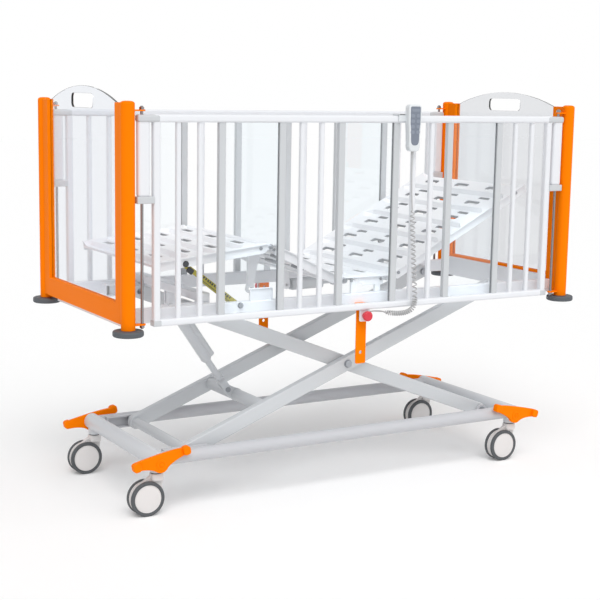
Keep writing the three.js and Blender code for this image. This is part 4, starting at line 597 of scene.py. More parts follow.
# Scissor lift, drawn along X from its centre pivot
OUTER_ARMS = Matrix.Translation(LIFT_CENTRE) @ Matrix.Rotation(-LIFT_ANGLE, 4, "Y")
INNER_ARMS = Matrix.Translation(LIFT_CENTRE) @ Matrix.Rotation(LIFT_ANGLE, 4, "Y")
INNER_FACE = ARM_FACE - ARM_T - LANE
OUTER_TUBE_REACH, INNER_TUBE_REACH = ARM_FACE - ARM_T - CLEAR, INNER_FACE - ARM_T - CLEAR
ARM_TUBE_R, DRIVE_TUBE_R, DRIVE_TUBE_AT = 0.019, 0.023, 0.318
ROLLER_IN, ROLLER_OUT = CHANNEL_MOUTH + 0.003, CHANNEL_MOUTH + 0.017


def arm_bar(side, face):
    holes = [circle(x, 0, PIVOT_R + PLAY, 28) for x in (-ARM_HALF, ARM_HALF)]
    return plate(link(-ARM_HALF, 0, ARM_END_R, ARM_HALF, 0, ARM_END_R, 28), "Y",
                 side * face, side * (face - ARM_T), 0.004, holes, 3)


def arm_roller(side):
    return cross_rod(-ARM_HALF, 0, side * ROLLER_IN, side * ROLLER_OUT, ROLLER_R, 40, 0.0015)


def build_arms():
    tail_seat = INNER_FACE - ARM_T - LANE
    for side, name in SIDES:
        centre_pin = cross_rod(0, 0, side * (ARM_FACE - LET_IN), side * tail_seat, PIVOT_R)
        fit(f"outer_arm_shell_{name}", "outer_arms", ARM_GREY, arm_bar(side, ARM_FACE), centre_pin,
            place=OUTER_ARMS, stands_for=f"outer_arm_{name}")
        bolt = hex_nut((0, side * ARM_FACE, 0), "Y", 0.026, side * 0.008)
        tail = hex_nut((0, side * tail_seat, 0), "Y", 0.024, side * -0.007)
        fit(f"scissor_bolt_{name}", "outer_arms", ZINC, bolt, tail, place=OUTER_ARMS)
        stub = cross_rod(-ARM_HALF, 0, side * (INNER_FACE - LET_IN), side * (ROLLER_IN + LET_IN), PIVOT_R)
        fit(f"inner_arm_shell_{name}", "inner_arms", ARM_GREY, arm_bar(side, INNER_FACE), stub,
            arm_roller(side), place=INNER_ARMS, stands_for=f"inner_arm_{name}")
    tube = cross_rod(-ARM_HALF, 0, -OUTER_TUBE_REACH, OUTER_TUBE_REACH, ARM_TUBE_R, 48)
    pin = cross_rod(-ARM_HALF, 0, -ROLLER_IN - LET_IN, ROLLER_IN + LET_IN, PIVOT_R)
    fit("outer_slide_tube_shell", "outer_arms", ARM_GREY, tube, pin, arm_roller(FRONT), arm_roller(REAR),
        place=OUTER_ARMS, stands_for="outer_slide_tube")
    fit("inner_pivot_tube_shell", "inner_arms", ARM_GREY,
        cross_rod(ARM_HALF, 0, -INNER_TUBE_REACH, INNER_TUBE_REACH, ARM_TUBE_R, 48),
        place=INNER_ARMS, stands_for="inner_pivot_tube")


# Actuators, drawn along X from the mounting pivot
LIFT_ACT_TOP = Vector((SLIDE_X + 0.038, 0, DECK_Z))
LIFT_ACT_PIN = Vector((SLIDE_X + 0.276, 0, LIFT_CENTRE.z - 0.109))
LUG_T, FORK_R, FORK_DEPTH, FORK_PIN_R = 0.012, 0.016, 0.042, 0.006
CHEEK_IN = LUG_T / 2 + 0.001
CHEEK_OUT = CHEEK_IN + 0.007
BACK_HINGE, BACK_ANGLE = Vector((0.150, 0, HINGE_Z)), math.radians(27.5)
BACK = Matrix.Translation(BACK_HINGE) @ Matrix.Rotation(-BACK_ANGLE, 4, "Y")
BACK_ACT_Y = 0.090
# The back actuator's pivots: under the hinge line of the seat, and on the back section's lever
BACK_MOUNT_X, BACK_MOUNT_Z = -0.060, -0.071
BACK_LEVER_X, BACK_LEVER_Z = 0.020, -0.085


def along_run(start, end):
    """The frame of a strut whose own X runs from one pivot to the other."""
    run = end - start
    return Matrix.Translation(start) @ Matrix.Rotation(-math.atan2(run.z, run.x), 4, "Y"), run.length


def fit_housing(name, coat, place, y, width, corner, near, far, bore):
    """An actuator's square housing with its mounting eye and the lip round its bore."""
    housing = plate(rounded(width, width, corner, y), "X", near, far, 0.003)
    lip = turned([(bore, far), (bore + 0.004, far), (bore + 0.003, far + 0.004), (bore, far + 0.004)], "X",
                 (0, y, 0), 40, ring=True)
    eye = plate(link(0, 0, FORK_R, near + 0.003, 0, FORK_R), "Y", y - LUG_T / 2, y + LUG_T / 2, 0.001,
                [circle(0, 0, FORK_PIN_R + PLAY, 24)])
    fit(f"{name}_housing", f"{name}_body", coat, housing, lip, eye, place=place, stands_for=f"{name}_body")


def fit_shaft(name, place, y, start, length, radius, sides):
    """An actuator's shaft, whose bolted fork closes round the far pivot."""
    root = length - FORK_DEPTH
    shaft = rod((start, y, 0), (root, y, 0), radius, sides)
    yoke = plate(rounded(2 * CHEEK_OUT, 2 * FORK_R, 0.005, y), "X", root - 0.010, root + 0.002, 0.001)
    cheeks = [plate(link(root, 0, FORK_R - 0.001, length, 0, FORK_R - 0.001), "Y",
                    y + side * CHEEK_IN, y + side * CHEEK_OUT, 0.001) for side in BOTH]
    fit(f"{name}_shaft", f"{name}_rod", GREY, shaft, yoke, *cheeks, place=place, stands_for=f"{name}_rod")
    bolt = [hex_nut((length, y + side * CHEEK_OUT, 0), "Y", 0.017, side * 0.006) for side in BOTH]
    fit(f"{name}_bolt", f"{name}_rod", ZINC, *bolt, place=place)


def build_lift_actuator():
    place, length = along_run(LIFT_ACT_TOP, LIFT_ACT_PIN)
    far, shaft_r = 0.271, 0.0125
    fit_housing("lift_actuator", GREY, place, 0, 0.038, 0.014, 0.027, far, shaft_r + 0.001)
    motor = plate(rounded(0.035, 0.028, 0.012, 0, 0.022, 8), "X", 0.030, far - 0.003, 0.004, steps=3)
    seam = plate(rounded(0.0362, 0.0292, 0.0125, 0, 0.022, 8), "X", far - 0.050, far - 0.047, 0.001)
    fit("lift_actuator_motor", "lift_actuator_body", ARM_GREY, motor, seam, place=place)
    fit_shaft("lift_actuator", place, 0, far - 0.112, length, shaft_r, 40)
    along = (DRIVE_TUBE_AT - LIFT_REACH) / math.cos(LIFT_ANGLE)
    tube = cross_rod(along, 0, -OUTER_TUBE_REACH, OUTER_TUBE_REACH, DRIVE_TUBE_R, 48)
    pin = OUTER_ARMS.inverted() @ LIFT_ACT_PIN
    lug = plate(link(along, 0, 0.025, pin.x, pin.z, FORK_R), "Y", -LUG_T / 2, LUG_T / 2, 0.0015)
    fit("drive_tube_shell", "outer_arms", ARM_GREY, tube, lug, place=OUTER_ARMS,
        stands_for="outer_drive_tube")


def build_back_actuator():
    place, length = along_run(Vector((BACK_MOUNT_X, 0, HINGE_Z + BACK_MOUNT_Z)),
                              BACK @ Vector((BACK_LEVER_X, 0, BACK_LEVER_Z)))
    shaft_r = 0.010
    fit_housing("back_actuator", ARM_GREY, place, BACK_ACT_Y, 0.044, 0.012, 0.023, 0.165, shaft_r + 0.001)
    fit_shaft("back_actuator", place, BACK_ACT_Y, 0.081, length, shaft_r, 32)


# Deck frame: two box members, the cross bar that carries the lift actuator, end plates and a strap loop
MEMBER_IN, MEMBER_OUT = SIDE_Y - 0.073, SIDE_Y - 0.043
CROSS_LOW, CROSS_HALF, CROSS_REACH = DECK_TOP - 0.0007, 0.020, MEMBER_IN - 0.028
DECK_NUT_SEAT = ARM_FACE - ARM_T - 0.002
GLAND = Vector((0.046, -MEMBER_OUT + 0.010, DECK_Z))


def deck_member(side):
    reach, inside, lug_in = END_FACE - CLEAR, MEMBER_IN + 0.003, ARM_FACE + LANE
    member = block((-reach, side * MEMBER_IN, DECK_Z), (reach, side * MEMBER_OUT, DECK_TOP), 0.004, 4)
    track_top = LIFT_TOP_Z + TRACK_HALF
    webs = [block((x - 0.006, side * CHANNEL_BACK, DECK_Z + 0.002),
                  (x + 0.006, side * inside, track_top + CHANNEL_WALL), 0.001)
            for x in (CHANNEL_FAR + 0.020, CHANNEL_NEAR - 0.020)]
    saddle = block((LIFT_ACT_TOP.x - CROSS_HALF, side * (CHANNEL_MOUTH + 0.003), track_top + 0.001),
                   (LIFT_ACT_TOP.x + CROSS_HALF, side * CROSS_REACH, DECK_TOP - 0.001), 0.001)
    lug = pivot_lug(side, lug_in, LIFT_TOP_Z, LIFT_TOP_Z + 0.004)
    web = block((LIFT_PIVOT_X - 0.017, side * (lug_in + 0.007), DECK_Z + 0.004),
                (LIFT_PIVOT_X + 0.017, side * inside, DECK_TOP - 0.001), 0.0015)
    pin = cross_rod(LIFT_PIVOT_X, LIFT_TOP_Z, side * (lug_in + LET_IN), side * DECK_NUT_SEAT, PIVOT_R)
    return join(member, slide_channel(side, LIFT_TOP_Z), *webs, saddle, lug, web, pin)


def end_plates():
    """The white plates across both deck ends, inside the frames' lower bars."""
    return [block((end * (END_FACE - 0.012), -MEMBER_IN - 0.003, DECK_Z - 0.016),
                  (end * (END_FACE - CLEAR), MEMBER_IN - CLEAR, END_BAR_HIGH - 0.010), 0.002) for end in BOTH]


def strap_loop():
    """A bent flat bar with a thin web on the near member, for a mattress strap."""
    left, right, low, top, thick, bend = -0.453, -0.361, DECK_TOP - 0.0004, DECK_TOP + 0.045, 0.0045, 0.009
    outer = [(left, low), *arc(left + bend, top - bend, bend, 180, 90, 6),
             *arc(right - bend, top - bend, bend, 90, 0, 6), (right, low)]
    inner = [(right - thick, low), *arc(right - bend, top - bend, bend - thick, 0, 90, 6),
             *arc(left + bend, top - bend, bend - thick, 90, 180, 6), (left + thick, low)]
    bar = plate(outer + inner, "Y", -MEMBER_OUT, -MEMBER_OUT + 0.0075, 0.0008)
    web = block((left + 0.003, -MEMBER_OUT + 0.004, low),
                (right - 0.003, -MEMBER_OUT + 0.0065, top - 0.003), 0.0004)
    return join(bar, web)


def build_deck_frame():
    for side, name in SIDES:
        plates = end_plates() if side == FRONT else []
        fit(f"deck_member_shell_{name}", "deck", WHITE, deck_member(side), *plates,
            stands_for=f"deck_side_member_{name}")
        fit(f"deck_pivot_nut_{name}", "deck", ZINC,
            hex_nut((LIFT_PIVOT_X, side * DECK_NUT_SEAT, LIFT_TOP_Z), "Y", 0.024, side * -0.007))
    x = LIFT_ACT_TOP.x
    beam = block((x - CROSS_HALF, -CROSS_REACH, CROSS_LOW),
                 (x + CROSS_HALF, CROSS_REACH, CROSS_LOW + 0.030), 0.003)
    ears = [plate(link(x, DECK_Z, FORK_R, x, CROSS_LOW + 0.008, FORK_R), "Y",
                  side * CHEEK_IN, side * CHEEK_OUT, 0.001) for side in BOTH]
    pin = cross_rod(x, DECK_Z, -CHEEK_OUT, CHEEK_OUT, FORK_PIN_R)
    fit("cross_bar_shell", "deck", WHITE, beam, *ears, pin, stands_for="deck_cross_bar")
    gland = [(0, 0.001), (0.0085, 0.001), (0.0085, -0.003), (0.007, -0.0035), (0.0065, -0.0078),
             (0.0032, -0.008), (0, -0.008)]
    fit("cord_gland", "deck", DARK, turned(gland, "Z", GLAND))
    strut_pin = cross_rod(RATCHET_X, RATCHET_Z, -MEMBER_IN - LET_IN, -STRUT_PIN_END, STRUT_PIN_R, 24)
    strut_bolt = hex_nut((RATCHET_X, -MEMBER_OUT, RATCHET_Z), "Y", 0.017, -0.007)
    fit("ratchet_pivot_pin", "deck", ZINC, strut_pin, strut_bolt)
    fit("strap_loop", "deck", WHITE, strap_loop())


# End frames: domed posts, grooved U frame, guide-rod ears, clear panel, bumpers and rods, drawn at the head
END_BAR_LOW, END_BAR_HIGH, END_T, LEG_Y = DECK_Z + 0.005, DECK_Z + 0.075, 0.030, SIDE_Y - 0.074
END_FACE = POST_X - END_T / 2
PANEL_T, PANEL_GROOVE = 0.008, 0.012
PANEL_SHOULDER, PANEL_PEAK = DECK_Z + 0.726, DECK_Z + 0.787
EAR_ZS, EAR_T, EAR_R, ROD_R = (DECK_Z + 0.004, POST_TOP - 0.033), 0.005, 0.012, 0.005


def end_frame():
    post_r, dome, leg_top = 0.024, 0.010, POST_TOP - 0.006
    crown = [(post_r * math.cos(math.radians(t)) ** 0.55, POST_TOP - dome + dome * math.sin(math.radians(t)))
             for t in range(0, 90, 9)]
    post = [(0, POST_FOOT), (post_r - 0.001, POST_FOOT), (post_r, POST_FOOT + 0.001), *crown, (0, POST_TOP)]
    posts = [turned(post, "Z", (POST_X, side * SIDE_Y, 0), 64) for side in BOTH]
    outline = [(-SIDE_Y, END_BAR_LOW), (SIDE_Y, END_BAR_LOW), (SIDE_Y, leg_top), (LEG_Y, leg_top),
               (LEG_Y, END_BAR_HIGH), (-LEG_Y, END_BAR_HIGH), (-LEG_Y, leg_top), (-SIDE_Y, leg_top)]
    loop = plate(outline, "X", END_FACE, POST_X + END_T / 2, 0.003, steps=3)
    slot, reach = PANEL_T / 2 + CLEAR, LEG_Y + PANEL_GROOVE + CLEAR
    carve(loop, block((POST_X - slot, -reach, END_BAR_HIGH - PANEL_GROOVE - CLEAR),
                      (POST_X + slot, reach, POST_TOP + 0.05), 0))
    ears = [plate(link(POST_X - 0.008, y, EAR_R, ROD_X, y, EAR_R), "Z", z, z + EAR_T, 0.0012,
                  [circle(ROD_X, y, ROD_R + CLEAR, 24)]) for y in (-SIDE_Y, SIDE_Y) for z in EAR_ZS]
    return join(loop, *posts, *ears)


def end_panel():
    reach, rise = LEG_Y + PANEL_GROOVE, PANEL_PEAK - PANEL_SHOULDER
    radius = (reach * reach + rise * rise) / (2 * rise)
    spread = math.degrees(math.asin(reach / radius))
    outline = [(-reach, END_BAR_HIGH - PANEL_GROOVE), (reach, END_BAR_HIGH - PANEL_GROOVE),
               *arc(0, PANEL_PEAK - radius, radius, 90 - spread, 90 + spread, 40)]
    hand_hole = rounded(0.200, 0.049, 0.017, 0, PANEL_PEAK - 0.051, 10)
    return plate(outline, "X", POST_X - PANEL_T / 2, POST_X + PANEL_T / 2, 0.0012, [hand_hole], 3)


def bumper():
    high, radius, thick, edge = POST_FOOT - CLEAR, 0.052, 0.020, 0.006
    low = high - thick
    profile = [(0, low), (0.014, low), (0.014, low + 0.002), (0.026, low + 0.002), (0.028, low),
               *arc(radius - edge, low + edge, edge, -90, 0, 6),
               *arc(radius - edge, high - edge, edge, 0, 90, 6),
               (0.030, high - 0.0006), (0.028, high), (0, high)]
    return turned(profile, "Z", sides=64)


def guide_rod():
    bottom, top = EAR_ZS[0] - CLEAR, EAR_ZS[1] + EAR_T + CLEAR
    low, high, lip = bottom - 0.012, top + 0.012, 0.001
    bar = turned([(0, low), (ROD_R - lip, low), (ROD_R, low + lip), (ROD_R, high - lip), (ROD_R - lip, high),
                  (0, high)], "Z", sides=32)
    return join(bar, hex_nut((0, 0, bottom), "Z", 0.0155, -0.0085), hex_nut((0, 0, top), "Z", 0.0155, 0.0085))


def build_ends():
    orange_frame, sheet, disc, bar = end_frame(), end_panel(), bumper(), guide_rod()
    for end, name in ENDS:
        turn = AS_DRAWN if end == HEAD else HALF_TURN
        fit(f"{name}_end_frame_shell", "deck", ORANGE, copy_of(orange_frame, turn),
            stands_for=f"{name}_end_frame")
        # Each end sheet's darker tint is painted shade.
        fit(f"{name}_panel_sheet", "deck", END_ACRYLIC_SHADED[name], copy_of(sheet, turn),
            stands_for=f"{name}_panel")
        for side, side_name in SIDES:
            where = f"{name}_{side_name}"
            fit(f"bumper_disc_{where}", "deck", RUBBER, copy_of(disc, at(end * POST_X, side * SIDE_Y)),
                stands_for=f"bumper_{where}")
            fit(f"guide_rod_bar_{where}", "deck", CHROME, copy_of(bar, at(end * ROD_X, side * SIDE_Y)),
                stands_for=f"guide_rod_{where}")
    put_away(orange_frame, sheet, disc, bar)


# Drop sides, drawn on the near side; the far side is the same frame turned round
TOP_RAIL_H, BOTTOM_RAIL_H, RAIL_T = 0.026, 0.024, 0.030
RAIL_UNDER, RAIL_OVER = SIDE_HIGH - TOP_RAIL_H, SIDE_LOW + BOTTOM_RAIL_H
BAR_LOW, BAR_HIGH = RAIL_OVER - 0.003, RAIL_UNDER + 0.003
SIDE_END_X, UPRIGHT_W = POST_X - 0.100, 0.025
SIDE_EDGE_X = SIDE_END_X + UPRIGHT_W / 2
BAR_PITCH = SIDE_END_X / 10.35
ROUND_BARS, FLAT_BARS = (2.45, 3.45, 8.35, 9.35), (1.45, 4.45, 7.35)
BAYS = {"foot": (-7.35, -4.45), "middle": (-1.45, 1.45), "head": (4.45, 7.35)}
BAR_W, FLAT_W, FLAT_T, SHEET_HALF, SEAL_HALF = 0.018, 0.025, 0.020, 0.003, 0.0042
SLEEVE_OUT, SLEEVE_HALF, CLAMP_HALF, CLIP_LOW = ROD_X + 0.018, 0.012, 0.016, RAIL_UNDER - 0.264
LOCK_HIGH = DECK_Z - 0.026
LOCK_LOW, LOCK_HOLE_R = LOCK_HIGH - 0.141, 0.0064


def side_block(start, end, half, low, high, edge, segments=3):
    """A block in the near side's plane, as thick on both sides of it."""
    return block((start, -SIDE_Y - half, low), (end, -SIDE_Y + half, high), edge, segments)


def side_bar(x, width):
    return plate(rounded(width, width, 0.006, x, -SIDE_Y), "Z", BAR_LOW, BAR_HIGH, 0.0005)


def rod_bore(end):
    x = end * ROD_X
    return rod((x, -SIDE_Y, CLIP_LOW - 0.02), (x, -SIDE_Y, SIDE_HIGH + 0.02), ROD_R + PLAY, 32, 0)


def side_frame():
    rails = [side_block(-SIDE_EDGE_X, SIDE_EDGE_X, RAIL_T / 2, low, high, 0.008, 5)
             for low, high in ((RAIL_UNDER, SIDE_HIGH), (SIDE_LOW, RAIL_OVER))]
    bars = [side_bar(end * place * BAR_PITCH, BAR_W) for place in ROUND_BARS for end in BOTH]
    uprights = [side_bar(end * SIDE_END_X, UPRIGHT_W) for end in BOTH]
    sleeves = [carve(side_block(end * (SLEEVE_OUT - 0.044), end * SLEEVE_OUT, SLEEVE_HALF, CLIP_LOW + 0.021,
                                SIDE_HIGH - 0.003, 0.010, 5), rod_bore(end)) for end in BOTH]
    low, high = LOCK_HIGH - 0.022, SIDE_LOW + 0.006
    tab = plate(rounded(0.042, high - low, 0.005, 0, (low + high) / 2), "Y", -SIDE_Y - SHEET_HALF,
                -SIDE_Y + SHEET_HALF, 0.001, [circle(0, LOCK_HIGH, LOCK_HOLE_R, 28)])
    return join(*rails, *bars, *uprights, *sleeves, tab)


def side_clamps():
    """Flat bars beside the clear sheets, corner blocks, rod clips and heels."""
    pieces = [side_block(x - FLAT_W / 2, x + FLAT_W / 2, FLAT_T / 2, BAR_LOW, BAR_HIGH, 0.0025)
              for x in (end * place * BAR_PITCH for place in FLAT_BARS for end in BOTH)]
    for end in BOTH:
        clip = side_block(end * (SIDE_EDGE_X - 0.003), end * (SLEEVE_OUT + 0.004), CLAMP_HALF,
                          CLIP_LOW, CLIP_LOW + 0.024, 0.003)
        corner = side_block(end * (SIDE_EDGE_X - UPRIGHT_W), end * (SLEEVE_OUT + 0.001), CLAMP_HALF,
                            RAIL_UNDER, SIDE_HIGH - 0.001, 0.008, 4)
        heel = side_block(end * (SIDE_EDGE_X - UPRIGHT_W - 0.002), end * (SIDE_EDGE_X + 0.002), CLAMP_HALF,
                          SIDE_LOW + 0.001, RAIL_OVER - 0.003, 0.003)
        pieces += [carve(clip, rod_bore(end)), carve(corner, rod_bore(end)), heel]
    return join(*pieces)


def side_seals():
    """Dark sealing strips where each clear sheet enters its flat bars."""
    strips = []
    for start, end in BAYS.values():
        for x, way in ((start * BAR_PITCH, 1), (end * BAR_PITCH, -1)):
            near = x + way * (FLAT_W / 2 - 0.0005)
            strips.append(side_block(near, near + way * 0.0028, SEAL_HALF, RAIL_OVER, RAIL_UNDER, 0.0008))
    return join(*strips)


def build_sides():
    white_frame, clamps, seals = side_frame(), side_clamps(), side_seals()
    grip = FLAT_W / 2 + CLEAR
    for side, name in SIDES:
        turn = AS_DRAWN if side == FRONT else HALF_TURN
        body = f"drop_side_{name}"
        fit(f"drop_side_frame_{name}", body, WHITE, copy_of(white_frame, turn), stands_for=body)
        fit(f"side_clamps_{name}", body, CLAMP_GREY, copy_of(clamps, turn))
        fit(f"side_seals_{name}", body, SEAL, copy_of(seals, turn))
        for bay, (start, end) in BAYS.items():
            sheet = block((start * BAR_PITCH + grip, side * SIDE_Y - SHEET_HALF, RAIL_OVER + CLEAR),
                          (end * BAR_PITCH - grip, side * SIDE_Y + SHEET_HALF, RAIL_UNDER - CLEAR), 0.0008)
            fit(f"side_sheet_{name}_{bay}", body, ACRYLIC, sheet, stands_for=f"side_panel_{name}_{bay}")
    put_away(white_frame, clamps, seals)


# Side locks: a plate with two lock holes and a red pull knob on its plunger
PLATE_Y, PLATE_TOP, PLATE_H = SIDE_Y - RAIL_T / 2 - LANE, DECK_Z + PLATE_RISE, 0.227


def lock_plate():
    holes = [circle(0, z, LOCK_HOLE_R, 28) for z in (LOCK_HIGH, LOCK_LOW)]
    sheet = plate(rounded(0.043, PLATE_H, 0.006, 0, PLATE_TOP - PLATE_H / 2), "Y", -PLATE_Y, -PLATE_Y + 0.005,
                  0.001, holes)
    spacer = block((-0.0175, -PLATE_Y + 0.004, DECK_Z + 0.001),
                   (0.0175, -MEMBER_OUT - CLEAR, PLATE_TOP - 0.001), 0.001)
    return join(sheet, spacer)


def lock_knob():
    near, length, r = SIDE_Y + 0.0033, 0.027, 0.0185
    far = near + length
    profile = [(0, far - 0.0012), (0.010, far - 0.0008), (r - 0.006, far),
               *arc(r - 0.005, far - 0.005, 0.005, 90, 0, 6), *arc(r - 0.004, far - 0.011, 0.004, 0, -60, 5),
               (r - 0.0065, near + 0.007), (r - 0.007, near), (0, near)]
    return turned(facing(profile, FRONT), "Y", (0, 0, LOCK_HIGH), 48)


def lock_pin():
    tip, root, r = PLATE_Y + CLEAR, SIDE_Y + 0.005, 0.006
    profile = [(0, tip), (r - 0.001, tip), (r, PLATE_Y + 0.0015), (r, root), (0, root)]
    return turned(facing(profile, FRONT), "Y", (0, 0, LOCK_HIGH), 32)


def build_locks():
    for side, name in SIDES:
        turn, plunger = AS_DRAWN if side == FRONT else HALF_TURN, f"plunger_{name}"
        fit(f"lock_plate_sheet_{name}", "deck", ORANGE, lock_plate(), place=turn,
            stands_for=f"lock_plate_{name}")
        fit(f"lock_knob_{name}", plunger, RED, lock_knob(), place=turn, stands_for=f"lock_plunger_{name}")
        fit(f"lock_pin_{name}", plunger, ZINC, lock_pin(), place=turn)


# Deck sections: pressed sheets with pointed grooves and collared slots, on side flanges with hinge eyes
SHEET_TOP, SHEET_T, HALF_W = 0.014, 0.003, SIDE_Y - 0.048
SHEET_UNDER = SHEET_TOP - SHEET_T
FLANGE_Y, FLANGE_T, FLANGE_DROP, EYE_R, KEEP = HALF_W - 0.010, 0.004, 0.020, 0.0105, 0.014
LIP_LOW, SEAT_INSET = -0.010, 0.024
GROOVE_W, GROOVE_FLOOR, GROOVE_DEPTH, GROOVE_TIP, TIP_SHARE = 0.054, 0.030, 0.015, 0.034, 0.16
SLOT_COLUMNS = (-0.205, 0, 0.205)
SLAT_SLOT, GROOVE_SLOT, COLLAR_DROP, COLLAR_WALL = (0.090, 0.026), (0.070, 0.021), 0.010, 0.0015
HINGE_TUBE_R, HINGE_PIN_R = 0.011, 0.006
THIGH_HINGE = Vector((-0.070, 0, HINGE_Z))
THIGH_ANGLE, CALF_DROP, THIGH_L, CALF_L, BACK_L = math.radians(25.5), math.radians(6.2), 0.326, 0.437, 0.705
THIGH_TURN = Matrix.Translation(THIGH_HINGE) @ Matrix.Rotation(THIGH_ANGLE, 4, "Y")
THIGH = THIGH_TURN @ HALF_TURN
CALF = THIGH_TURN @ at(-THIGH_L) @ Matrix.Rotation(-THIGH_ANGLE - CALF_DROP, 4, "Y") @ HALF_TURN
SEAT = at(0, 0, HINGE_Z)


def slot_outline(spot, size, wall=0.0):
    """A long oval across the deck, drawn out by the thickness of a wall."""
    length, width = size
    return rounded(width + 2 * wall, length + 2 * wall, width / 2 - 0.0002 + wall, *spot, 8)


def slot_cutter(spot, size):
    return plate(slot_outline(spot, size), "Z", -0.02, 0.03, 0.0001, steps=0)


def slot_collar(spot, size, high):
    """The drawn wall under a slot."""
    return plate(slot_outline(spot, size, COLLAR_WALL), "Z", high - COLLAR_DROP, high, 0.0003,
                 [slot_outline(spot, size)], 1)


def groove_sheet(start, end, dips):
    """A sheet cut along the grooves' edges, with each groove's floor pressed down and its tips drawn in."""
    tip = HALF_W - 0.010
    floor_end, near = tip - GROOVE_TIP, 1e-4
    bpy.ops.mesh.primitive_plane_add(size=1)
    sheet = bpy.context.object
    sheet.location = ((start + end) / 2, 0, SHEET_TOP)
    sheet.scale = (end - start, 2 * HALF_W, 1)
    settle(sheet)
    edit(sheet)
    edges = [g + d for g in dips for d in (-GROOVE_W / 2, -GROOVE_FLOOR / 2, GROOVE_FLOOR / 2, GROOVE_W / 2)]
    cuts = [((x, 0, 0), (1, 0, 0)) for x in edges if start < x < end]
    cuts += [((0, y, 0), (0, 1, 0)) for y in (-tip, -floor_end, floor_end, tip)]
    for spot, across in cuts:
        bpy.ops.mesh.select_all(action="SELECT")
        bpy.ops.mesh.bisect(plane_co=spot, plane_no=across)
    leave_edit()
    for g in dips:
        pick(sheet, lambda p: abs(p.x - g) < GROOVE_FLOOR / 2 + near and abs(p.y) < floor_end + near)
        bpy.ops.transform.translate(value=(0, 0, -GROOVE_DEPTH))
        leave_edit()
        for y in (-tip, tip):
            pick(sheet, lambda p: abs(p.x - g) < GROOVE_W / 2 + near and abs(p.y - y) < near)
            bpy.ops.transform.resize(value=(TIP_SHARE, 1, 1), center_override=(g, y, SHEET_TOP))
            leave_edit()
    soften(sheet, 0.0035, 3, 10)
    apply_modifier(sheet, "SOLIDIFY", thickness=SHEET_T, offset=-1)
    return sheet


def pressed_sheet(start, end, slats):
    """A slotted sheet with its end lips, and the collars under its slots."""
    pitch = (end - start) / slats
    grooves = [start + (i + 1) * pitch for i in range(slats - 1)]
    sheet = groove_sheet(start, end, [start, *grooves, end])
    under = SHEET_UNDER + 0.0005
    slots = [((start + (i + 0.5) * pitch, y), SLAT_SLOT, under) for i in range(slats) for y in SLOT_COLUMNS]
    slots += [((g, y), GROOVE_SLOT, under - GROOVE_DEPTH) for g in grooves for y in SLOT_COLUMNS]
    carve(sheet, join(*[slot_cutter(spot, size) for spot, size, _ in slots]))
    collars = [slot_collar(*slot) for slot in slots]
    reach = FLANGE_Y - FLANGE_T - 0.001
    lips = [block((x, -reach, LIP_LOW), (x + SHEET_T, reach, under - GROOVE_DEPTH), 0.0008)
            for x in (start, end - SHEET_T)]
    return join(sheet, *lips), join(*collars)


def side_flanges(end):
    """The flanges along both edges of a sheet, each starting in an eye."""
    top, inner = SHEET_TOP - SHEET_T / 2, FLANGE_Y - FLANGE_T
    outline = [*arc(0, 0, EYE_R, 90, 270, 16), (KEEP, -EYE_R), (KEEP + 0.014, -FLANGE_DROP),
               (end, -FLANGE_DROP), (end, top), (KEEP + 0.002, top), (KEEP, EYE_R)]
    return [plate(outline, "Y", side * inner, side * FLANGE_Y, 0.0008, [circle(0, 0, HINGE_PIN_R + PLAY, 24)])
            for side in BOTH]


def hinge_tube(x):
    shoulder = FLANGE_Y - FLANGE_T - CLEAR
    return join(cross_rod(x, 0, -shoulder, shoulder, HINGE_TUBE_R, 32),
                cross_rod(x, 0, -FLANGE_Y - LET_IN, FLANGE_Y + LET_IN, HINGE_PIN_R, 24, 0.0005))


def hinge_caps(x):
    return [cap_head((x, side * (FLANGE_Y + 0.0006), 0), "Y", 0.0095, side * 0.005) for side in BOTH]


def flange_bolts(x):
    return [hex_nut((x, side * FLANGE_Y, 0), "Y", 0.010, side * 0.0045, 0.001) for side in BOTH]


def fit_section(name, body, place, start, end, slats, *fittings):
    sheet, collars = pressed_sheet(start, end, slats)
    # The sheet's lighter white is painted light on the slats.
    fit(f"{name}_sheet", body, SHEET_PAINTED_LIGHT, sheet, *fittings, place=place, stands_for=f"{name}_section")
    # The collars take a grey finish as painted shade inside the slots.
    fit(f"{name}_slot_collars", body, COLLAR_PAINTED_SHADE, collars, place=place)


def build_back():
    lever = plate(link(BACK_LEVER_X, BACK_LEVER_Z, FORK_R, 0.066, 0, 0.020), "Y", BACK_ACT_Y - LUG_T / 2,
                  BACK_ACT_Y + LUG_T / 2, 0.0012)
    strap = block((0.046, BACK_ACT_Y - 0.020, SHEET_UNDER - GROOVE_DEPTH),
                  (0.086, BACK_ACT_Y + 0.020, SHEET_UNDER + 0.001), 0.001)
    fit_section("back", "back", BACK, KEEP, BACK_L, 6, *side_flanges(BACK_L), lever, strap)
    fit("back_flange_bolts", "back", ZINC, *flange_bolts(0.040), *flange_bolts(BACK_L - 0.05), place=BACK)


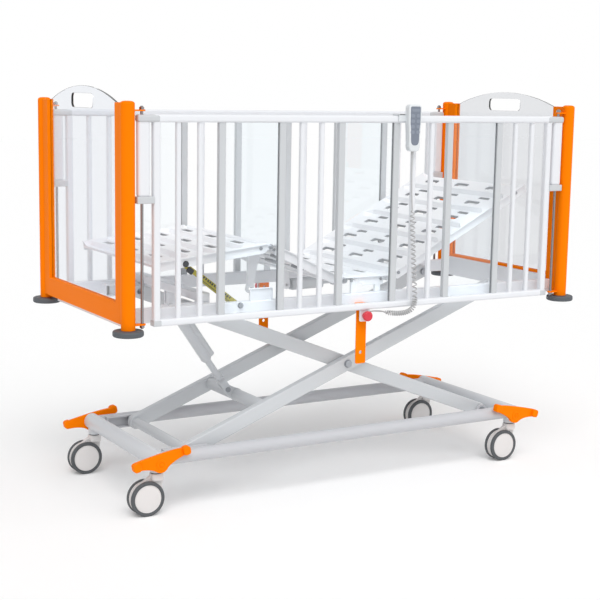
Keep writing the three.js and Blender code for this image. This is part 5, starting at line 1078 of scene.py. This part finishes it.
def build_seat():
    foot_hinge, head_hinge = THIGH_HINGE.x, BACK_HINGE.x
    left, right = foot_hinge + HINGE_TUBE_R - 0.001, head_hinge - HINGE_TUBE_R + 0.001
    fittings = [hinge_tube(foot_hinge), hinge_tube(head_hinge), *side_flanges(right - SEAT_INSET)]
    drop = DECK_TOP + CLEAR - HINGE_Z
    ear = link(BACK_MOUNT_X, BACK_MOUNT_Z, FORK_R, foot_hinge + 0.004, 0, FORK_R - 0.006)
    for side in BOTH:
        fittings += [block((x - 0.012, side * (FLANGE_Y - FLANGE_T - 0.008), drop),
                           (x + 0.012, side * (FLANGE_Y - 0.001), 0), 0.001)
                     for x in (left + SEAT_INSET + 0.024, right - SEAT_INSET - 0.024)]
        fittings.append(plate(ear, "Y", BACK_ACT_Y + side * CHEEK_IN, BACK_ACT_Y + side * CHEEK_OUT, 0.001))
    fittings.append(cross_rod(BACK_MOUNT_X, BACK_MOUNT_Z, BACK_ACT_Y - CHEEK_OUT, BACK_ACT_Y + CHEEK_OUT,
                              FORK_PIN_R, 24))
    fit_section("seat", "deck", SEAT, left, right, 2, *fittings)
    fit("seat_hinge_caps", "deck", ZINC, *hinge_caps(foot_hinge), *hinge_caps(head_hinge),
        *flange_bolts(foot_hinge + 0.045), *flange_bolts(head_hinge - 0.045), place=SEAT)


def build_thigh():
    knee, root = THIGH_L, SHEET_TOP - SHEET_T / 2
    tip, drop, tip_r = knee - 0.118, -0.148, 0.017
    outline = (bow((knee - 0.100, root), (knee - 0.104, -0.070), (tip - tip_r, drop))
               + arc(tip, drop, tip_r, 180, 360, 16)
               + bow((tip + tip_r, drop), (knee - 0.080, -0.080), (knee - 0.020, root)))
    lever = plate(outline, "Y", 0.095, 0.105, 0.0015, [circle(tip, drop, HINGE_PIN_R, 24)])
    fit_section("thigh", "thigh", THIGH, KEEP, knee - HINGE_TUBE_R + 0.001, 3,
                *side_flanges(knee - 2 * KEEP), hinge_tube(knee), lever)
    fit("thigh_hinge_caps", "thigh", ZINC, *hinge_caps(knee), *flange_bolts(knee - 0.045), place=THIGH)


def build_calf():
    pin = cross_rod(STRUT_EYE_X, STRUT_EYE_Z, FLANGE_Y - LET_IN, STRUT_PIN_END, STRUT_PIN_R, 24)
    fit_section("calf", "calf", CALF, KEEP, CALF_L, 4, *side_flanges(CALF_L), pin)
    fit("calf_flange_bolts", "calf", ZINC, *flange_bolts(0.040), place=CALF)


# Calf ratchet strut, drawn along X from its pivot on the near deck member
RATCHET_Y, RATCHET_X, RATCHET_Z = MEMBER_IN - 0.012, -0.491, DECK_TOP - 0.012
STRUT_EYE_X, STRUT_EYE_Z, STRUT_PIN_R, STRUT_PIN_END = 0.332, -0.009, 0.005, RATCHET_Y - 0.0105
RATCHET_W, RATCHET_T, RATCHET_WALL, RATCHET_END = 0.024, 0.015, 0.0025, 0.165
WINDOWS, TEETH, TOOTH_PITCH, TOOTH_TOP = 7, 8, 0.015, 0.0085
NOTCHES, NOTCH_PITCH, NOTCH_W, NOTCH_RISE = 13, 0.0105, 0.0065, 0.0006


def ratchet_channel(y, face, back, first):
    edge = RATCHET_W / 2
    tube = plate(rounded(RATCHET_T, RATCHET_W, 0.003, y), "X", first, RATCHET_END, 0.0006)
    hollow = block((first + 0.012, face + RATCHET_WALL, -edge + RATCHET_WALL),
                   (RATCHET_END + 0.01, back - RATCHET_WALL, edge - RATCHET_WALL), 0)
    windows = [block((x, y - RATCHET_T, -0.004), (x + 0.5 * TOOTH_PITCH, y + RATCHET_T, 0.003), 0)
               for x in (first + 0.024 + i * TOOTH_PITCH for i in range(WINDOWS))]
    carve(tube, hollow, join(*windows))
    return join(tube, plate(link(0, 0, edge, first + 0.006, 0, edge), "Y", face, back, 0.0008,
                            [circle(0, 0, STRUT_PIN_R + PLAY, 24)]))


def ratchet_bar(y, face, back, length):
    start, stop = RATCHET_END - TEETH * TOOTH_PITCH, length - 0.018
    teeth = [p for i in reversed(range(TEETH)) for p in (
        (start + (i + 1) * TOOTH_PITCH, TOOTH_TOP), (start + i * TOOTH_PITCH + 0.003, TOOTH_TOP - 0.004))]
    outline = [(start, -TOOTH_TOP), (stop, -TOOTH_TOP), (stop, TOOTH_TOP), *teeth, (start, TOOTH_TOP)]
    head = plate(link(length - 0.022, 0, TOOTH_TOP, length, 0, 0.012), "Y", face, back, 0.0008,
                 [circle(length, 0, 0.0096, 28)])
    return join(plate(outline, "Y", y - 0.004, y + 0.004, 0.0005), head)


def build_ratchet():
    channel, bar = "calf_ratchet_channel", "calf_ratchet_bar"
    y, first = -RATCHET_Y, RATCHET_W / 2 + 0.004
    face, back = y - RATCHET_T / 2, y + RATCHET_T / 2
    top = CALF @ Vector((STRUT_EYE_X, RATCHET_Y, STRUT_EYE_Z))
    place, length = along_run(Vector((RATCHET_X, 0, RATCHET_Z)), Vector((top.x, 0, top.z)))
    fit("ratchet_channel_shell", channel, YELLOW_ZINC, ratchet_channel(y, face, back, first), place=place,
        stands_for=channel)
    fit("ratchet_bar_shell", bar, YELLOW_ZINC, ratchet_bar(y, face, back, length), place=place,
        stands_for=bar)
    bolt = hex_nut((STRUT_EYE_X, FLANGE_Y, STRUT_EYE_Z), "Y", 0.018, 0.0055)
    fit("ratchet_eye_bolt", "calf", DARK, bolt, place=CALF)

    # Dark raised marks along the channel's face: painted shade for the tooth notches; the strip along the top
    # is a dark seam.
    notch_shades = [block((x, face - NOTCH_RISE, -0.0092), (x + NOTCH_W, face + LET_IN, -0.0014), 0.0002, 1)
               for x in (first + 0.014 + i * NOTCH_PITCH for i in range(NOTCHES))]
    seam = block((first + 0.012, face - NOTCH_RISE, 0.0058),
                 (RATCHET_END - 0.004, face + LET_IN, 0.0080), 0.0002, 1)
    fit("ratchet_rack_notch_shade_and_seam", channel, DARK, *notch_shades, seam, place=place)
    x, z = length - 0.036, 0.006
    cover = plate(rounded(0.026, 0.020, 0.005, x, z), "Y", face - 0.004, face + LET_IN, 0.001)
    cap = [(0, -0.0075), (0.0050, -0.0075), (0.0050, -0.0035), (0.0068, -0.0035), (0.0068, 0), (0, 0)]
    fit("ratchet_pawl", bar, DARK, cover, turned(cap, "Y", (x, face, z), 24), place=place)


# Hand control on the near top rail, with its film keypad
HANDSET_X, HANDSET_W, HANDSET_T, HANDSET_H, HANDSET_TOP_R = 0.171, 0.056, 0.028, 0.168, 0.012
HANDSET_TOP = SIDE_HIGH + 0.040
HANDSET_LOW = HANDSET_TOP - HANDSET_H
HANDSET_BACK = -SIDE_Y - RAIL_T / 2 - 0.0006
HANDSET_FRONT = HANDSET_BACK - HANDSET_T
CORD_Y = HANDSET_BACK - HANDSET_T / 2
HOOK_T, HOOK_DROP, FILM_MARGIN = 0.005, 0.021, 0.0065
KEY_ROWS, KEY_PITCH, KEY_ASIDE = 4, 0.0195, 0.0115


def handset_outline(margin=0.0, low=HANDSET_LOW, high=HANDSET_TOP):
    """The case outline, wide at the top and waisted below, drawn in by a margin."""
    half, waist, round_top = HANDSET_W / 2 - margin, HANDSET_W / 2 - 0.004 - margin, HANDSET_TOP_R - margin
    right = (bow((waist - 0.016, low), (waist, low), (waist, low + 0.022), 8)
             + bow((waist, low + 0.022), (waist, low + 0.060), (half, HANDSET_LOW + 0.100), 6)
             + arc(half - round_top, high - round_top, round_top, 0, 90, 8))
    points = right + [(-x, z) for x, z in reversed(right)]
    return [(HANDSET_X + x, z) for x, z in points]


def film_plate(outline, rise, sunk, edge):
    return plate(outline, "Y", HANDSET_FRONT - rise, HANDSET_FRONT + sunk, edge)


def build_handset():
    body = "drop_side_front"
    case = plate(handset_outline(), "Y", HANDSET_FRONT, HANDSET_BACK, 0.005, steps=4)
    hook_top, inside = SIDE_HIGH + 0.0006, -SIDE_Y + RAIL_T / 2 + 0.0006
    left, right = HANDSET_X - HANDSET_W / 2 - 0.028, HANDSET_X - HANDSET_W / 2 + HANDSET_TOP_R
    walls = ((HANDSET_BACK - HOOK_T, inside + HOOK_T, hook_top),
             (HANDSET_BACK - HOOK_T, HANDSET_BACK, hook_top - HOOK_DROP),
             (inside, inside + HOOK_T, hook_top - HOOK_DROP))
    hook = [block((left, near, low), (right, far, hook_top + HOOK_T), 0.0015) for near, far, low in walls]
    fit("handset_case", body, CASE, case, *hook, stands_for="handset")
    film = handset_outline(FILM_MARGIN, HANDSET_LOW + 0.022, HANDSET_TOP - FILM_MARGIN)
    fit("handset_keypad", body, KEYPAD, film_plate(film, 0.0006, 0.002, 0.0004))
    spots = [(HANDSET_X + way * KEY_ASIDE, HANDSET_TOP - 0.040 - i * KEY_PITCH)
             for i in range(KEY_ROWS) for way in BOTH]
    keys = [film_plate(rounded(0.0165, 0.0125, 0.005, *spot), 0.0014, 0, 0.0006) for spot in spots]
    lamp_bar = film_plate(rounded(0.034, 0.010, 0.004, HANDSET_X, HANDSET_TOP - 0.020), 0.0011, 0, 0.0004)
    fit("handset_keys", body, KEY, *keys, lamp_bar)
    relief = [(0, 0.006), (0.0062, 0.006), (0.0062, 0.0), (0.0054, -0.003)]
    for i in range(3):
        r, z = 0.0052 - i * 0.0006, -0.0035 - i * 0.0032
        relief += [(r, z), (r, z - 0.0018), (r - 0.0011, z - 0.0022), (r - 0.0011, z - 0.003)]
    relief += [(0.0030, -0.0138), (0, -0.014)]
    fit("cord_relief", body, CORD, turned(relief, "Z", (HANDSET_X, CORD_Y, HANDSET_LOW), 32))


# Curly cord: straight from the hand control, then one helix along a hanging bow to the gland
CORD_R, CURL_R, CURL_STEPS, ROUTE_STEPS = 0.0025, 0.0075, 24, 16
HANGING_CURLS, BOW_CURLS = 19, 20
STRAIGHT_TOP, STRAIGHT_END, CURL_FADE, BEND_LEAD = 0.194, 0.070, 0.026, 0.015
LEAD_STEPS, TAIL_STEPS = 14, 12
CORD_SMOOTH = math.radians(50)
CORD_ROUTE = ((0.171, -0.4226, 1.2457), (0.171, -0.4226, 1.2337), (0.171, -0.4226, 1.1844),
              (0.173, -0.4226, 1.1230), (0.177, -0.4226, 1.0617), (0.184, -0.4226, 0.9547),
              (0.192, -0.4226, 0.8477), (0.199, -0.4226, 0.7585), (0.201, -0.4226, 0.7050),
              (0.193, -0.4226, 0.6830), (0.171, -0.4216, 0.6700), (0.135, -0.4186, 0.6660),
              (0.099, -0.4106, 0.6690), (0.076, -0.3906, 0.6732), (0.0595, -0.3660, 0.6715),
              (0.0513, -0.3512, 0.6690), (0.0472, -0.3424, 0.6732), (0.046, -0.3400, 0.6817))


def between(p, q, start, end, t):
    return p * ((end - t) / (end - start)) + q * ((t - start) / (end - start))


def smooth_route(points):
    """A centripetal curve through the points, with its distance along at each place."""
    ends = [points[0] * 2 - points[1], *points, points[-1] * 2 - points[-2]]
    line = []
    for p0, p1, p2, p3 in zip(ends, ends[1:], ends[2:], ends[3:]):
        t0 = 0
        t1 = t0 + (p1 - p0).length ** 0.5
        t2 = t1 + (p2 - p1).length ** 0.5
        t3 = t2 + (p3 - p2).length ** 0.5
        for i in range(ROUTE_STEPS):
            t = t1 + (t2 - t1) * i / ROUTE_STEPS
            a1, a2, a3 = between(p0, p1, t0, t1, t), between(p1, p2, t1, t2, t), between(p2, p3, t2, t3, t)
            line.append(between(between(a1, a2, t0, t2, t), between(a2, a3, t1, t3, t), t1, t2, t))
    line.append(points[-1])
    along = [0.0]
    for p, q in zip(line, line[1:]):
        along.append(along[-1] + (q - p).length)
    return line, along


def place_at(line, along, distance):
    """The point and heading at a distance along the route."""
    i = next((k for k, a in enumerate(along[1:]) if a >= distance), len(along) - 2)
    share = (distance - along[i]) / (along[i + 1] - along[i])
    ahead = (line[min(i + 2, len(line) - 1)] - line[max(i - 1, 0)]).normalized()
    return line[i].lerp(line[i + 1], min(max(share, 0), 1)), ahead


def aside_of(ahead, across):
    """Two directions square to the heading, the first as near as can be to the last one used."""
    across = (across - ahead * across.dot(ahead)).normalized()
    return across, ahead.cross(across)


def round_about(across, aside, turn):
    return across * math.cos(turn) + aside * math.sin(turn)


def curly_line():
    line, along = smooth_route([Vector(p) for p in CORD_ROUTE])
    whole = along[-1]
    start, stop, bend = STRAIGHT_TOP, whole - STRAIGHT_END, along[ROUTE_STEPS * 8] - BEND_LEAD
    spots = [(start * i / LEAD_STEPS, 0) for i in range(LEAD_STEPS)]
    steps = HANGING_CURLS * CURL_STEPS
    spots += [(start + (bend - start) * i / steps, i / CURL_STEPS) for i in range(steps)]
    steps = BOW_CURLS * CURL_STEPS
    spots += [(bend + (stop - bend) * i / steps, i / CURL_STEPS) for i in range(steps + 1)]
    spots += [(stop + (whole - stop) * i / TAIL_STEPS, 0) for i in range(1, TAIL_STEPS + 1)]
    across, result = Vector((1, 0, 0)), []
    for spot, curl in spots:
        point, ahead = place_at(line, along, spot)
        across, aside = aside_of(ahead, across)
        near = min(max(min(spot - start, stop - spot) / CURL_FADE, 0), 1)
        swell = (1 - math.cos(math.pi * near)) / 2
        result.append(point + CURL_R * swell * round_about(across, aside, 2 * math.pi * curl))
    return result


def tube_along(name, line, radius, sides=12):
    """A round tube whose rings follow a line, closed at both ends."""
    corners, faces = [], []
    across = Vector((1, 0, 0))
    for i, point in enumerate(line):
        ahead = (line[min(i + 1, len(line) - 1)] - line[max(i - 1, 0)]).normalized()
        across, aside = aside_of(ahead, across)
        corners += [point + radius * round_about(across, aside, 2 * math.pi * k / sides)
                    for k in range(sides)]
    for i in range(len(line) - 1):
        for k in range(sides):
            a, b = i * sides + k, i * sides + (k + 1) % sides
            faces.append((a, b, b + sides, a + sides))
    last = (len(line) - 1) * sides
    faces += [tuple(reversed(range(sides))), tuple(range(last, last + sides))]
    mesh = bpy.data.meshes.new(name)
    mesh.from_pydata(corners, [], faces)
    piece = bpy.data.objects.new(name, mesh)
    bpy.context.collection.objects.link(piece)
    return piece


def build_cord():
    line = curly_line()
    cord = tube_along("curly_cord", line, CORD_R)
    cord.data.materials.append(CORD)
    select_only(cord)
    bpy.ops.object.shade_smooth_by_angle(angle=CORD_SMOOTH)
    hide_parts("handset_cord")
    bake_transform(cord)


# Studio: pale floor, soft light and the camera at the photograph's place
CAMERA_PLACE, CAMERA_LENS, SENSOR_W, VIEW_END = (-2.6272, -4.4037, 1.4818), 79.74, 36, 100
CAMERA_YAW, CAMERA_PITCH, CAMERA_ROLL = math.radians(30.402), math.radians(9.080), math.radians(0.981)
FLOOR_SIZE, FLOOR_WHITE, FLOOR_GLOW, FALLING_LIGHT = 60, (0.98, 0.98, 0.98, 1), 0.03, 0.5
# Each light's name and strength, with its azimuth, elevation and width in degrees
LIGHTS = (("key_light", 1.55, -24, 52, 40), ("fill_light", 0.50, 40, 38, 70))


def light_sky():
    """White at full strength where the camera, a reflection or glass sees it, and dimmer on the cot itself."""
    world = bpy.data.worlds.new("studio")
    bpy.context.scene.world = world
    world.use_nodes = True
    tree, sky = world.node_tree, world.node_tree.nodes["Background"]
    path, most, all_seen, level = new_nodes(tree, "LightPath", "Math", "Math", "MapRange")
    most.operation = all_seen.operation = "MAXIMUM"
    dial(sky, Color=(1, 1, 1, 1))
    dial(level, To_Min=FALLING_LIGHT, To_Max=1)
    wire(tree, (path, "Is Camera Ray", most, 0), (path, "Is Glossy Ray", most, 1), (most, 0, all_seen, 0),
         (path, "Is Transmission Ray", all_seen, 1), (all_seen, 0, level, "Value"),
         (level, "Result", sky, "Strength"))


def lay_floor():
    bpy.ops.mesh.primitive_plane_add(size=FLOOR_SIZE, location=(0, 0, 0))
    floor = bpy.context.object
    floor.name = "studio_floor"
    pale, _, shader = new_material("floor_white")
    dial(shader, Base_Color=FLOOR_WHITE, Roughness=0.9, Specular_IOR_Level=0, Emission_Color=(1, 1, 1, 1),
         Emission_Strength=FLOOR_GLOW)
    floor.data.materials.append(pale)


def build_studio():
    light_sky()
    lay_floor()
    for name, strength, azimuth, elevation, width in LIGHTS:
        lamp = bpy.data.lights.new(name, "SUN")
        lamp.energy, lamp.angle = strength, math.radians(width)
        holder = bpy.data.objects.new(name, lamp)
        bpy.context.collection.objects.link(holder)
        holder.rotation_euler = (math.radians(90 - elevation), 0, math.radians(azimuth))

    view = bpy.data.cameras.new("photo_camera")
    view.lens, view.sensor_width, view.clip_end = CAMERA_LENS, SENSOR_W, VIEW_END
    camera = bpy.data.objects.new("photo_camera", view)
    bpy.context.collection.objects.link(camera)
    camera.matrix_world = (Matrix.Translation(CAMERA_PLACE) @ Matrix.Rotation(-CAMERA_YAW, 4, "Z")
                           @ Matrix.Rotation(math.pi / 2 - CAMERA_PITCH, 4, "X")
                           @ Matrix.Rotation(CAMERA_ROLL, 4, "Z"))
    bpy.context.scene.camera = camera
    bpy.context.scene.view_settings.view_transform = "Standard"


for build in (build_cord, build_base, build_castors, build_treadles, build_arms, build_lift_actuator,
              build_back_actuator, build_deck_frame, build_ends, build_sides, build_locks, build_back,
              build_seat, build_thigh, build_calf, build_ratchet, build_handset, build_studio):
    build()
